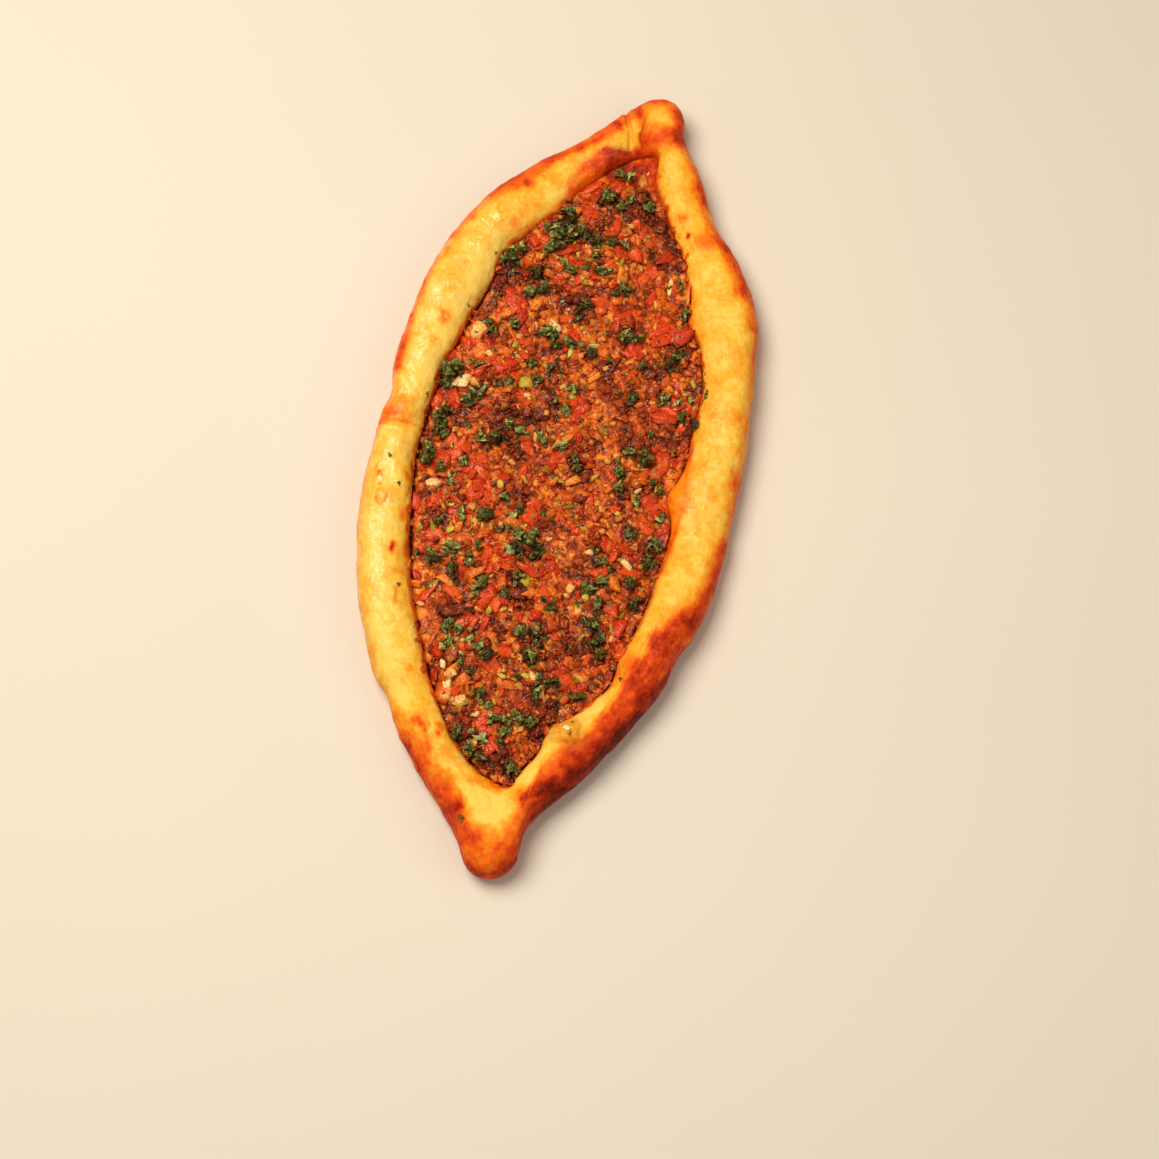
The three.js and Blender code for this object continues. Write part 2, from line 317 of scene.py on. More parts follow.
# Blisters: middle, radius, height.
BLISTERS = [
    ((12.5, 168), 7.5, 1.2), ((-76, -24), 2.3, 0.5), ((-72, -34), 2.8, 0.5), ((-64, -21), 1.4, 0.4),
    ((-64.5, 57), 2.8, 0.5), ((-62, -55), 1.8, 0.6), ((-60, -79), 3.0, 0.6), ((-56, -88), 3.2, 0.6),
    ((-31, -132), 4.2, 0.8), ((-23, -132), 2.4, 0.5), ((48, 118), 5.0, 0.5), ((-51, 112), 4.0, 0.6),
    ((-30, 135), 4.0, 0.5), ((-41, -107), 2.2, 0.4), ((22, -154), 5.0, 0.8), ((16, -157), 3.0, 0.5),
    ((53, -86), 6.0, 0.7), ((75, 40), 4.0, 0.3), ((66, -50), 6.0, 0.5), ((70, -68), 4.0, 0.6),
    ((-73, 10), 6.0, 0.5), ((40, -128), 4.0, 0.5), ((3, -160), 5.0, 0.5), ((30.5, -121), 6.6, 1.6),
]
# Pits: middle, radius, depth.
PITS = [
    ((-42, 131), 1.5, 0.9), ((23.5, 133.5), 1.0, 0.6), ((36, 121.5), 1.0, 0.6), ((37.5, 112), 0.8, 0.5),
    ((17, 148.5), 0.7, 0.4), ((-61.5, -56), 0.9, 0.7), ((-31, -133), 1.2, 0.5), ((27, -117), 0.6, 0.5),
    ((30, -125), 0.6, 0.5), ((28, -122), 0.5, 0.4), ((33, -114), 0.6, 0.4), ((-64.5, 57), 0.9, 0.3),
    ((-41, -107), 0.8, 0.3),
]
# What rings a mark, in parts of its own height and half-width or radius: how high, how far out, how wide.
CREASE_RIDGE, BLISTER_GROOVE, PIT_LIP = (0.45, 2.6, 1.3), (0.35, 1.12, 0.14), (0.3, 1.6, 0.5)


def distance(xy, start, end=None):
    """How far each place lies from a stroke, or from a point when there is no end."""
    start = np.array(start, float)
    run = np.zeros(2) if end is None else end - start
    part = np.clip((xy - start) @ run / max(run @ run, TINY), 0, 1)
    return np.linalg.norm(xy - start - part[:, None] * run, axis=1)


def border(gap, height, place, width):
    return height * bell(gap - place, width)


def fold_drop(xy):
    """How far the folds sink the dough and the bubble lifts it, on the tip line's own grid."""
    middle, height, radius = BUBBLE
    drop = -height * bell(distance(xy, middle), radius)
    for start, end, depth, width in FOLDS:
        drop += depth * bell(distance(xy, start, end), width)
    return drop


# %% Press the folds into the rim
upper = smoothstep(BELLY, 1, high)[:, None]
tip_line_xy = dough[rim_rows, :, :2].reshape(-1, 2) - SHIFT[:2]
dough[rim_rows, :, 2] -= upper * fold_drop(tip_line_xy).reshape(len(high), -1)


def grid_normals(grid):
    """The way out of a lofted grid at each point, from its neighbours along and across."""
    normal = np.cross(np.gradient(grid, axis=0), np.roll(grid, -1, 1) - np.roll(grid, 1, 1))
    return normal / np.maximum(np.linalg.norm(normal, axis=-1, keepdims=True), TINY)


normals = grid_normals(dough[rim_rows])
print("the crest's normals point up by", normals[CREST_ROW, :, 2].mean().round(2))

# %% [markdown]
# The fine sculpting moves each point of the skin along its normal: slow lumps where the dough puffed
# unevenly, small wrinkles, then the marks. It fades out towards the sole, which stays flat on the table.
# Some wrinkles run along the roll, so the noise for them is laid on the roll's own run along and across.

# %% How far the skin runs along and across the roll
crest_steps = np.linalg.norm(np.roll(dough[1 + CREST_ROW], -1, 0) - dough[1 + CREST_ROW], axis=1)
run_along = np.concatenate([[0], np.cumsum(crest_steps)[:-1]])
loop_length = crest_steps.sum()
row_steps = np.linalg.norm(np.diff(dough[rim_rows], axis=0), axis=-1).mean(1)
run_across = np.concatenate([[0], np.cumsum(row_steps)])
print("once round the crest:", loop_length.round(), "mm, over the roll:", run_across[-1].round(1), "mm")


def grain(along_mm, across_mm, octaves, seed):
    """Noise stretched along the roll, joined without a seam where the loop closes."""
    turn = 2 * np.pi * run_along / loop_length
    ring = loop_length / (2 * np.pi * along_mm)
    circle = [ring * np.cos(turn), ring * np.sin(turn)]
    rings = [np.column_stack([*circle, np.full(len(turn), run / across_mm)]) for run in run_across]
    return np.concatenate([lumps(places, 1.0, octaves, seed) for places in rings])


# %% Move the skin
KNOB, KNOB_SIZE = (12, 170), (8, 24)
SKIN_LUMPS = [(0.85, 25, 2, 1), (0.42, 9, 2, 2), (0.16, 4.5, 2, 4), (0.1, 2.8, 2, 3)]
UNEVEN, WRINKLE = 0.3, 0.1
skin = dough[rim_rows].reshape(-1, 3)
skin_xy = skin[:, :2]
skin_normals = normals.reshape(-1, 3)
facing_up = np.clip(skin_normals[:, 2], 0, 1)
off_sole = smoothstep(0.5, 6, skin[:, 2])
stretch_grain = grain(6, 1.5, 2, 5) * smoothstep(*KNOB_SIZE, distance(skin_xy, KNOB))
crooked = lumps(skin, 5, 2, 10)
rise = lump_sum(skin, SKIN_LUMPS) + WRINKLE * stretch_grain
for start, end, depth, width in FINE_CREASES:
    gap = distance(skin_xy, start, end) / width
    rise += facing_up * depth * (border(gap, *CREASE_RIDGE) - bell(gap, 1))
for middle, radius, height in BLISTERS:
    gap = distance(skin_xy, middle) / radius * (1 + UNEVEN * crooked)
    rise += facing_up * height * (np.clip(1 - gap**2, 0, 1) ** 0.8 - border(gap, *BLISTER_GROOVE))
for middle, radius, depth in PITS:
    gap = distance(skin_xy, middle) / radius
    rise -= facing_up * depth * (bell(gap, 1, 4) - border(gap, *PIT_LIP))
skin += skin_normals * (rise * off_sole)[:, None]
dough[rim_rows] = skin.reshape(dough[rim_rows].shape)
print("skin moved by", rise.min().round(2), "to", rise.max().round(2), "mm")

# %% [markdown]
# ## Where the crust browns
#
# Browning follows heat. The outer side of the rim faces the oven's wall and browns first, the pinched ends
# are thin and catch, and blisters scorch on top. A noise in the material alone would brown the crust
# anywhere. So the value `toast` is worked out here on each point of the mesh, for the material to read. It
# runs from 0, pale gold, to 1, dark red-brown. How far over the rim the brown reaches changes along the
# bread: for each side there are places along it, how far in from the outer edge it starts, and how strong
# it is.

# %% Toast on each point
TOAST = {
    "right": [
        (-190, 0.52, 0.48), (-165, 0.42, 0.6), (-130, 0.4, 0.8), (-105, 0.44, 0.78), (-92, 0.34, 0.62),
        (-82, 0.42, 0.58), (-68, 0.68, 0.54), (-40, 0.86, 0.42), (0, 0.93, 0.38), (60, 0.92, 0.36),
        (95, 0.82, 0.44), (115, 0.72, 0.44), (150, 0.8, 0.38), (190, 0.6, 0.42),
    ],
    "left": [
        (-190, 0.52, 0.48), (-165, 0.52, 0.44), (-140, 0.76, 0.42), (-118, 0.96, 0.32), (-90, 0.98, 0.32),
        (20, 0.92, 0.38), (60, 0.9, 0.4), (100, 0.88, 0.44), (118, 0.8, 0.46), (140, 0.64, 0.44),
        (170, 0.64, 0.42), (190, 0.6, 0.42),
    ],
}
# Browner marks, or paler ones below 0: from, to, half-width, how much. A round one starts where it ends.
TOAST_MARKS = [
    ((7, 165.5), (18, 167.5), 4.6, 0.5), ((9, 172), (15, 171), 4, 0.2), ((6, 179), (14, 181), 3.6, -0.16),
    ((19, 181), (23, 170), 4, 0.28), ((-2, 184), (4, 171), 2.4, 0.4), ((-9, 171), (-6, 168), 2.5, 0.35),
    ((5, 166), (8, 158), 2.2, 0.3), ((-22, 155), (-10, 163), 3.0, 0.22),
    ((-46, 138), (-30, 149), 3.4, 0.24), ((-58, 124), (-48, 136), 3.5, 0.2),
    ((-42, 131), (-42, 131), 2.4, 0.5), ((-44, 110), (-38, 106), 2.4, 0.22),
    ((-64.5, 58), (-64.5, 56), 2.6, 0.4), ((-66, 44), (-66, 44), 2.6, 0.2),
    ((-80, 56), (-80, 29), 2.2, 0.34), ((-78, 72), (-77, 62), 2.4, 0.16), ((-77, 6), (-70, 4), 3.0, 0.16),
    ((-73, 12), (-73, 9), 6.5, 0.16), ((-79, 12), (-80, 3), 2.5, 0.12), ((-64, -21), (-64, -21), 1.8, 0.3),
    ((-60.5, -36), (-60.5, -41), 1.8, 0.42), ((-62, -54), (-62, -57), 1.4, 0.6),
    ((-59, -66), (-54, -66), 1.8, 0.14), ((-56, -74), (-54.5, -80), 1.2, 0.34),
    ((-60, -102), (-57, -112), 2.4, 0.16), ((-41, -107), (-41, -108), 2.0, 0.2),
    ((-33, -130), (-30, -132), 2.2, 0.55), ((-36, -141), (-35, -142), 1.6, 0.4),
    ((-23, -130), (-22, -134), 1.6, 0.45), ((-28, -134), (-24, -142), 1.2, 0.3),
    ((-40, -137), (-28, -150), 3.0, 0.24), ((-24, -152), (-8, -163), 5.0, 0.18),
    ((-10, -166), (2, -176), 4.0, 0.2), ((-7, -157), (-6, -163), 1.4, 0.2),
    ((19, -153), (31, -147), 4.0, 0.3), ((53, -84), (48, -91), 5.0, 0.3), ((62, -75), (72, -60), 4.5, 0.24),
    ((76, -62), (80, -45), 3.0, 0.3), ((82, -42), (82, -20), 2.4, 0.3), ((81, 11), (81, 8), 3.2, 0.36),
    ((61, -6), (61, -8), 2.2, 0.36), ((74, 38), (78, 37), 3.0, 0.14), ((42, 118), (56, 121), 4.0, 0.28),
    ((56, 118), (67, 100), 4.0, 0.26), ((40, 141), (36, 148), 3.0, 0.26), ((31, 130), (32, 130), 2.0, 0.4),
    ((23.5, 135), (23.5, 132), 1.0, 0.8), ((36, 122), (36, 121), 1.0, 0.7),
    ((37.5, 113), (37, 111), 0.9, 0.7), ((17, 148.5), (17, 148.5), 0.8, 0.5),
    ((40, 94), (44, 91), 2.6, 0.2), ((-68, 30), (-50, 98), 9, -0.17), ((-72, -4), (-66, -60), 7, -0.08),
    ((-60, -90), (-46, -118), 9, -0.17), ((30, 150), (38, 128), 7, 0.08),
    ((40, -106), (10, -142), 7, -0.16), ((0, -158), (7, -163), 7, -0.34),
    ((-4, -151), (9, -151.5), 2.6, 0.3), ((14, -146), (22, -136), 5, -0.14),
    ((-50, -124), (-38, -146), 3.5, -0.12), ((-50, 104), (-26, 136), 4.5, 0.06),
]
# Blisters browned in a ring round a pale top: middle, radius, how much.
TOAST_RINGS = [
    ((-76, -20), 2.4, 0.24), ((-75, -26), 2.2, 0.24), ((-72, -34), 2.8, 0.26), ((-51, 115), 2.4, 0.1),
]


def by_place(table, column=1):
    """A column of a table of places along both sides, read off at every station."""
    sides = {side: np.array(table[side], float).T for side in table}
    read = {side: np.interp(stations["y"], rows[0], rows[column]) for side, rows in sides.items()}
    return np.where(stations["is_right"], read["right"], read["left"])


def marks(rows):
    """The sum of soft marks at every point of the skin."""
    return sum(amount * bell(distance(skin_xy, start, end), width) for start, end, width, amount in rows)


# %% [markdown]
# The brown comes in two steps, a soft one and a deeper one further out, each over a stretch measured from
# where the brown starts. The foot of the wall stays paler, since less heat reaches under the bulge. Marks
# are laid from above, so they fade where the skin turns steep, and past a limit the brown grows slowly,
# because dough that dark is nearly burnt.

# %% Add up the browning
# Each step: from, to, how much. Each foot value: from, to, how much paler.
BROWNING_STEPS = [(-0.14, 0.12, 0.74), (0.2, 0.6, 0.52)]
UNDERSIDE, PALE_FOOT = 0.35, (1.15, 1.33, 0.25)
PATCHY, STREAKY = 0.32, 0.25
STEEP_SHARE = 0.35
RING_STRETCH, RING_BREAKS, RING_WIDTH = (1.15, 0.85), 2.4, 0.3
BASE_TOAST, TOAST_LUMPS = 0.12, [(0.1, 14, 2, 7), (0.06, 4, 2, 8)]
SOFT_LIMIT, PAST_LIMIT = 0.74, 0.6
is_under = np.arange(len(high)) < UNDER_ROWS
skirt = np.where(is_under, 1 + UNDERSIDE * (1 - high / BELLY), across)[:, None]
ragged_edge = (0.12 * lumps(skin, 8, 4, 6) + 0.03 * stretch_grain).reshape(len(high), -1)
start, strength = by_place(TOAST, 1), by_place(TOAST, 2)
toast = sum(
    much * smoothstep(start + low, start + full, skirt + ragged_edge) for low, full, much in BROWNING_STEPS
)
toast = (strength * (toast - PALE_FOOT[2] * smoothstep(*PALE_FOOT[:2], skirt))).ravel()
toast *= 1 + PATCHY * lumps(skin, 6, 3, 12)
level_share = STEEP_SHARE + (1 - STEEP_SHARE) * np.sqrt(facing_up)
toast += marks(TOAST_MARKS) * (1 + STREAKY * stretch_grain) * level_share
for middle, radius, amount in TOAST_RINGS:
    off_middle = (skin_xy - middle) * RING_STRETCH
    gap = np.hypot(*off_middle.T) / radius * (1 + UNEVEN * crooked)
    toast += amount * np.clip(1 + RING_BREAKS * crooked, 0, 2) * bell(gap - 1, RING_WIDTH) * facing_up
toast += BASE_TOAST + lump_sum(skin, TOAST_LUMPS) + 0.03 * stretch_grain
toast = np.minimum(toast, SOFT_LIMIT + PAST_LIMIT * (toast - SOFT_LIMIT))
print("toast from", toast.min().round(2), "to", toast.max().round(2))

# %% [markdown]
# The egg wash is brushed from one side, so it lies thick on the left rim, thinner on the right and hardly
# at all on the ends. The value `glaze` says how much.

# %% Egg wash on each point
GLAZE = {
    "right": [
        (-190, 0.05), (-95, 0.05), (-60, 0.15), (-20, 0.35), (30, 0.3), (90, 0.25), (120, 0.15), (190, 0.2),
    ],
    "left": [
        (-190, 0.05), (-125, 0.1), (-105, 0.4), (-80, 0.75), (-20, 0.85), (60, 0.75), (120, 0.9),
        (138, 0.3), (190, 0.2),
    ],
}
glaze = (by_place(GLAZE) * np.ones_like(skirt)).ravel() * (1 + 0.7 * lumps(skin, 6, 3, 11))
print("egg wash from", glaze.min().round(2), "to", glaze.max().round(2))

# %% [markdown]
# Sauce creeps up the inside of the rim and dyes it orange. It does so in a thin line all round, and in wide
# bands where the heap has drawn back: at the knobbed tip, in the middle of the right side and low on the
# left. Each wide band has a shade of its own, from red-brown paste to yellow oil.

# %% Sauce stain on each point
STAIN_REACH = {
    "right": [
        (-190, 0.1), (-60, 0.12), (-35, 0.2), (-10, 0.3), (12, 0.2), (30, 0.06), (120, 0.08), (145, 0.1),
        (190, 0.2),
    ],
    "left": [
        (-190, 0.1), (-130, 0.12), (-70, 0.12), (-50, 0.05), (110, 0.06), (135, 0.12), (165, 0.2),
        (190, 0.2),
    ],
}
# Wider stains: from, to, half-width, how much, and a shade from 0, red-brown, to 1, oily yellow.
STAIN_MARKS = [
    ((-21, 135), (-16, 144), 3.6, 1.1, 0.62), ((-16, 145), (-11, 152), 3.2, 1.1, 0.5),
    ((-9, 154), (3, 156.5), 3.2, 1.1, 0.15), ((4, 156), (9, 152), 2.6, 0.9, 0.4),
    ((8, 152), (12, 144), 2.5, 0.5, 0.7), ((54, 9), (60, -7), 4.5, 0.9, 0.85),
    ((58, -10), (57, -20), 3.0, 0.8, 0.8), ((57, -20), (57, -34), 2.2, 0.7, 0.5),
    ((54, -42), (50, -66), 1.4, 0.3, 0.6), ((-1, -150), (8, -149), 2.0, 0.4, 0.8),
    ((-25, -136), (-10, -146), 2.2, 0.3, 0.8), ((42, 91), (40, 100), 2.0, 0.4, 0.7),
    ((48, 78), (44, 85), 1.6, 0.3, 0.7),
]
OUTSIDE = 9
OIL_SPREAD, OIL_GLOSS = 8, 0.5
is_inner = np.arange(len(high)) >= CREST_ROW
inside = np.where(is_inner, across, OUTSIDE)[:, None]
ragged = 0.06 * lumps(skin, 5, 2, 9).reshape(len(high), -1)
stain = 1 - smoothstep(0, 1, (inside + ragged) / by_place(STAIN_REACH))
wide = marks([row[:4] for row in STAIN_MARKS])
shaded = marks([(*row[:3], row[3] * (row[4] - 0.5)) for row in STAIN_MARKS])
stain_shade = 0.5 + shaded / np.maximum(wide, 0.5) + 0.25 * crooked
stain = np.clip(stain.ravel() + wide * (1.2 + 0.6 * crooked), 0, 1)
oily = bell(distance(skin_xy - SHIFT[:2], BUBBLE[0]), OIL_SPREAD, 4)
glaze = np.clip(glaze * (1 - stain) + OIL_GLOSS * stain, 0, 1)
print("stained part of the rim:", stain.mean().round(3))

# %% [markdown]
# Now the dough becomes a mesh. The rows that hide under the filling or on the table take one plain value
# each.

# %% Make the crust


def on_grid(values, hidden):
    """Values for the whole dough grid, with one value where the rim's own don't reach."""
    full = np.full(dough.shape[:2], float(hidden))
    full[rim_rows] = values.reshape(len(high), -1)
    return full.ravel()


crust_faces = loft_faces(len(dough), LOOP_STEPS)
crust_values = {
    "toast": on_grid(toast, 0.3), "stain": on_grid(stain, 1), "stain_shade": on_grid(stain_shade, 0.5),
    "oily": on_grid(oily, 0), "glaze": on_grid(glaze, 0),
}
crust = make_mesh("pide_crust", dough.reshape(-1, 3), crust_faces, crust_values)
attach(crust, "root")
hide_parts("crust")

# %% [markdown]
# ## Node helpers
#
# Colours are written as they look on a screen, in sRGB hex, and turned to linear light by one function. One
# more function adds a shader node with its settings and links, and hands back the output that the next node
# needs. A colour mix has its factor at input 0, its colours at 6 and 7 and its result at output 2.

# %% Colour and node helpers


def linear(hex_colour):
    """An sRGB hex colour as linear red, green, blue and an alpha of 1."""
    parts = [int(hex_colour[i:i + 2], 16) / 255 for i in (1, 3, 5)]
    return (*[p / 12.92 if p <= 0.04045 else ((p + 0.055) / 1.055) ** 2.4 for p in parts], 1.0)


def add_node(tree, kind, inputs, stops=(), out=0, **settings):
    """Adds a node, sets its properties, fills or links its inputs and ramp stops, and returns one output."""
    made = tree.nodes.new("ShaderNode" + kind)
    for name, value in settings.items():
        setattr(made, name, value)
    for name, value in inputs.items():
        if isinstance(value, bpy.types.NodeSocket):
            tree.links.new(value, made.inputs[name])
        else:
            made.inputs[name].default_value = value
    for index, (place, colour) in enumerate(stops):
        ramp = made.color_ramp.elements
        stop = ramp[index] if index < len(ramp) else ramp.new(place)
        stop.position, stop.color = place, linear(colour)
    return made.outputs[out] if made.outputs else None


def new_material(name):
    """An empty material and its node tree."""
    made = bpy.data.materials.new(name)
    made.use_nodes = True
    made.node_tree.nodes.clear()
    return made, made.node_tree


def per_metre(size_mm):
    """The scale of a pattern whose cells or waves are this many millimetres apart."""
    return 1 / (size_mm * MM)


# %% [markdown]
# ## Egg-washed crust
#
# Wheat dough glazed with egg yolk and baked. The yolk dries to a thin clear film over a golden skin, so the
# eye gets a saturated yellow-gold with a soft broken gloss. Real dough's refractive index is near 1.45 and
# the film's near 1.5. The skin under the film is rough, 0.45 to 0.65, and the film is a coat with a
# roughness of 0.09, as thick as `glaze` says and thinner where the crust is browned dry. Colour comes from
# `toast`, broken up by noise at 10 mm and 1.8 mm. The finest wrinkles, about 1 mm, are drawn as relief in
# the shader, and so are the brush strokes that the film dried in.

# %% Crust colours
BAKED_DOUGH = [(0.0, "#F2CC5E"), (0.13, "#EEB63A"), (0.28, "#ED9A22"), (0.45, "#E87418"), (0.6, "#DC5014"),
               (0.8, "#AA2C0C"), (1.0, "#621406")]
SAUCE_STAIN = [(0.05, "#8E220A"), (0.35, "#D03E0C"), (0.6, "#F2660C"), (0.95, "#FF9010")]
FRIED_BUBBLE = [(0.36, "#CC6418"), (0.48, "#E08C24"), (0.62, "#ECB03C")]
MOTTLE_MM, MOTTLE_DEPTH, SPECKLE_DEPTH, LEVEL_SHIFT = 10, 0.5, 0.42, 0.46


def crust_colour(tree, place, fine):
    """How thick the egg film is, and the colour: browning, then sauce stain and oily bubble over it."""
    read = {key: add_node(tree, "Attribute", {}, out="Fac", attribute_name=key) for key in crust_values}
    mottle = add_node(
        tree, "TexNoise", {"Vector": place, "Scale": per_metre(MOTTLE_MM), "Detail": 4.0, "Roughness": 0.55},
    )
    mottled = add_node(tree, "Math", {0: mottle, 1: MOTTLE_DEPTH, 2: read["toast"]}, operation="MULTIPLY_ADD")
    speckled = add_node(tree, "Math", {0: fine, 1: SPECKLE_DEPTH, 2: mottled}, operation="MULTIPLY_ADD")
    level = add_node(tree, "Math", {0: speckled, 1: LEVEL_SHIFT}, operation="SUBTRACT")
    baked = add_node(tree, "ValToRGB", {"Fac": level}, BAKED_DOUGH)
    centred = add_node(tree, "Math", {0: fine, 1: 0.5}, operation="SUBTRACT")
    ragged_stain = add_node(tree, "Math", {0: centred, 1: 0.6, 2: read["stain"]}, operation="MULTIPLY_ADD")
    cover = add_node(tree, "MapRange", {"Value": ragged_stain, "From Min": 0.1, "From Max": 0.9})
    shade = add_node(tree, "Math", {0: centred, 1: 0.8, 2: read["stain_shade"]}, operation="MULTIPLY_ADD")
    sauce = add_node(tree, "ValToRGB", {"Fac": shade}, SAUCE_STAIN)
    stained = add_node(tree, "Mix", {0: cover, 6: baked, 7: sauce}, out=2, data_type="RGBA")
    oil_cover = add_node(tree, "Math", {0: read["oily"], 1: 0.8}, operation="MULTIPLY")
    fried = add_node(tree, "ValToRGB", {"Fac": fine}, FRIED_BUBBLE)
    oiled = add_node(tree, "Mix", {0: oil_cover, 6: stained, 7: fried}, out=2, data_type="RGBA")
    not_dry = {"Value": level, "From Min": 0.25, "From Max": 0.6, "To Min": 1.0, "To Max": 0.1}
    film = add_node(
        tree, "Math", {0: add_node(tree, "MapRange", not_dry), 1: read["glaze"]}, operation="MULTIPLY",
    )
    return film, oiled


# %% Crust material


def egg_washed_crust():
    material, tree = new_material("egg_washed_crust")
    place = add_node(tree, "TexCoord", {}, out="Object")
    fine = add_node(
        tree, "TexNoise", {"Vector": place, "Scale": per_metre(1.8), "Detail": 4.0, "Roughness": 0.65},
    )
    film, colour = crust_colour(tree, place, fine)
    dull = {"Value": fine, "From Min": 0.3, "From Max": 0.7, "To Min": 0.45, "To Max": 0.65}
    pores = add_node(tree, "TexVoronoi", {"Vector": place, "Scale": per_metre(2.2)}, feature="SMOOTH_F1")
    wrinkles = {"Vector": place, "Scale": per_metre(1.2), "Detail": 4.0, "Roughness": 0.6, "Distortion": 0.8}
    relief = add_node(
        tree, "Math", {0: pores, 1: 0.4, 2: add_node(tree, "TexNoise", wrinkles)}, operation="MULTIPLY_ADD",
    )
    strokes = add_node(tree, "Mapping", {"Vector": place, "Scale": (1.0, 0.4, 1.0)})
    dried = add_node(
        tree, "TexNoise", {"Vector": strokes, "Scale": per_metre(1.5), "Detail": 3.0, "Roughness": 0.6},
    )
    shader = add_node(tree, "BsdfPrincipled", {
        "Base Color": colour, "Roughness": add_node(tree, "MapRange", dull),
        "IOR": 1.45, "Specular IOR Level": 0.08,
        "Normal": add_node(tree, "Bump", {"Height": relief, "Strength": 0.6, "Distance": 0.6 * MM}),
        "Coat Weight": film, "Coat Roughness": 0.09, "Coat IOR": 1.5,
        "Coat Normal": add_node(tree, "Bump", {"Height": dried, "Strength": 0.95, "Distance": 0.6 * MM}),
        "Subsurface Weight": 0.08, "Subsurface Scale": 2 * MM, "Subsurface Radius": (1.0, 0.5, 0.2),
    })
    add_node(tree, "OutputMaterial", {"Surface": shader})
    return material


crust.data.materials.append(egg_washed_crust())

# %% [markdown]
# ## Level of the heap
#
# The filling is a heap of minced meat, sauce and diced vegetables. The solid model gives its level: lowest
# at the rim, higher in the middle, with slow waves. Here the level is laid out as a map of heights, a
# quarter of a millimetre to a cell, because everything in the heap is then laid on what the map says.

# %% The map of heights
FILLING_LEVEL, FILLING_CROWN = 12.5, 3.0
# Waves of the heap: height, length, heading in degrees.
HEAP_WAVES = [(0.5, 61, 12), (0.4, 37, 64), (0.4, 43, 118), (0.3, 25, 160)]
CELL = 0.25
MAP_LOW, MAP_HIGH = np.array([-68.0, -152.0]), np.array([66.0, 166.0])
columns, rows = ((MAP_HIGH - MAP_LOW) / CELL).astype(int)
cell_x = MAP_LOW[0] + CELL * (np.arange(columns) + 0.5)
cell_y = MAP_LOW[1] + CELL * (np.arange(rows) + 0.5)
grid_x, grid_y = np.meshgrid(cell_x, cell_y)


def room_inside(x, y):
    """How far a place lies inside the inner edge, in millimetres across the bread."""
    from_line, along_line = x - SHIFT[0], y - SHIFT[1]
    right, left = half_width(INNER_EDGE, "right", along_line), half_width(INNER_EDGE, "left", along_line)
    in_length = (along_line < INNER_EDGE["top"]) & (along_line > INNER_EDGE["bottom"])
    return np.where(in_length, np.minimum(right - from_line, left + from_line), -OUTSIDE)


def heap_level(x, y, inward):
    """The heap's height, for places from 0 at its edge to 1 in its middle."""
    level = FILLING_LEVEL + FILLING_CROWN * (1 - (1 - inward) ** 2)
    for height, length, heading in HEAP_WAVES:
        across_wave, along_wave = math.cos(math.radians(heading)), math.sin(math.radians(heading))
        travel = (x - SHIFT[0]) * across_wave + (y - SHIFT[1]) * along_wave
        level = level + np.minimum(1, inward * 4) * height * np.sin(2 * np.pi * travel / length)
    return level


def cell_at(x, y, low, cell, values):
    """The row and column of a map's cell that holds each place, kept inside the map."""
    found = ((np.asarray(y) - low[1]) / cell).astype(int), ((np.asarray(x) - low[0]) / cell).astype(int)
    return tuple(np.clip(index, 0, size - 1) for index, size in zip(found, values.shape))


def map_value(values, x, y):
    return values[cell_at(x, y, MAP_LOW, CELL, values)]


def window(row, column, span):
    """The square of cells round one cell."""
    return np.s_[max(0, row - span):row + span + 1, max(0, column - span):column + span + 1]


grid_room = room_inside(grid_x, grid_y)
half_span = (half_width(INNER_EDGE, "right", grid_y) + half_width(INNER_EDGE, "left", grid_y)) / 2
grid_inward = np.clip(grid_room / np.maximum(half_span, 1), 0, 1)
print("height map:", grid_room.shape, "cells, filling covers", round((grid_room > 0).sum() * CELL**2), "mm2")

# %% [markdown]
# ## Pieces with a place of their own
#
# Some pieces catch the eye, and two pides can be told apart by them. Each row is middle x and y,
# half-length, half-width and turn in degrees, in millimetres on the bread. A pale one also has its shade.

# %% Notable pieces
RED_PIECES = [
    (-35, 43, 4.6, 3.8, 30), (-45, 37, 3.4, 2.6, 60), (34, 78, 5.0, 4.2, 97), (36, 70, 3.6, 3.0, 10),
    (42, 33, 4.4, 3.4, 35), (48, 38, 3.2, 2.6, 80), (-46, -5, 6.2, 2.8, 30), (-37, -8, 3.6, 2.2, 50),
    (48, 12, 4.4, 3.0, 109), (43, -72, 5.6, 2.3, 84), (-53, 23, 4.6, 2.6, 110), (14, 77, 4.6, 1.5, 38),
    (16, 119, 3.4, 2.0, 160), (-36, 72, 3.6, 2.0, 129), (-21, -49, 4.4, 1.9, 80), (-16, -70, 3.4, 2.0, 36),
    (-12, 139, 4.6, 1.6, 52), (39, -33, 4.2, 1.8, 160), (23, 59, 2.8, 1.5, 14), (16, -28, 3.0, 1.6, 140),
    (-5, -123, 4.6, 3.0, 49), (10, 112, 2.8, 1.5, 115), (46, -11, 2.8, 1.9, 95), (31, -44, 3.6, 1.6, 50),
    (-1, 1, 2.4, 1.8, 73),
]
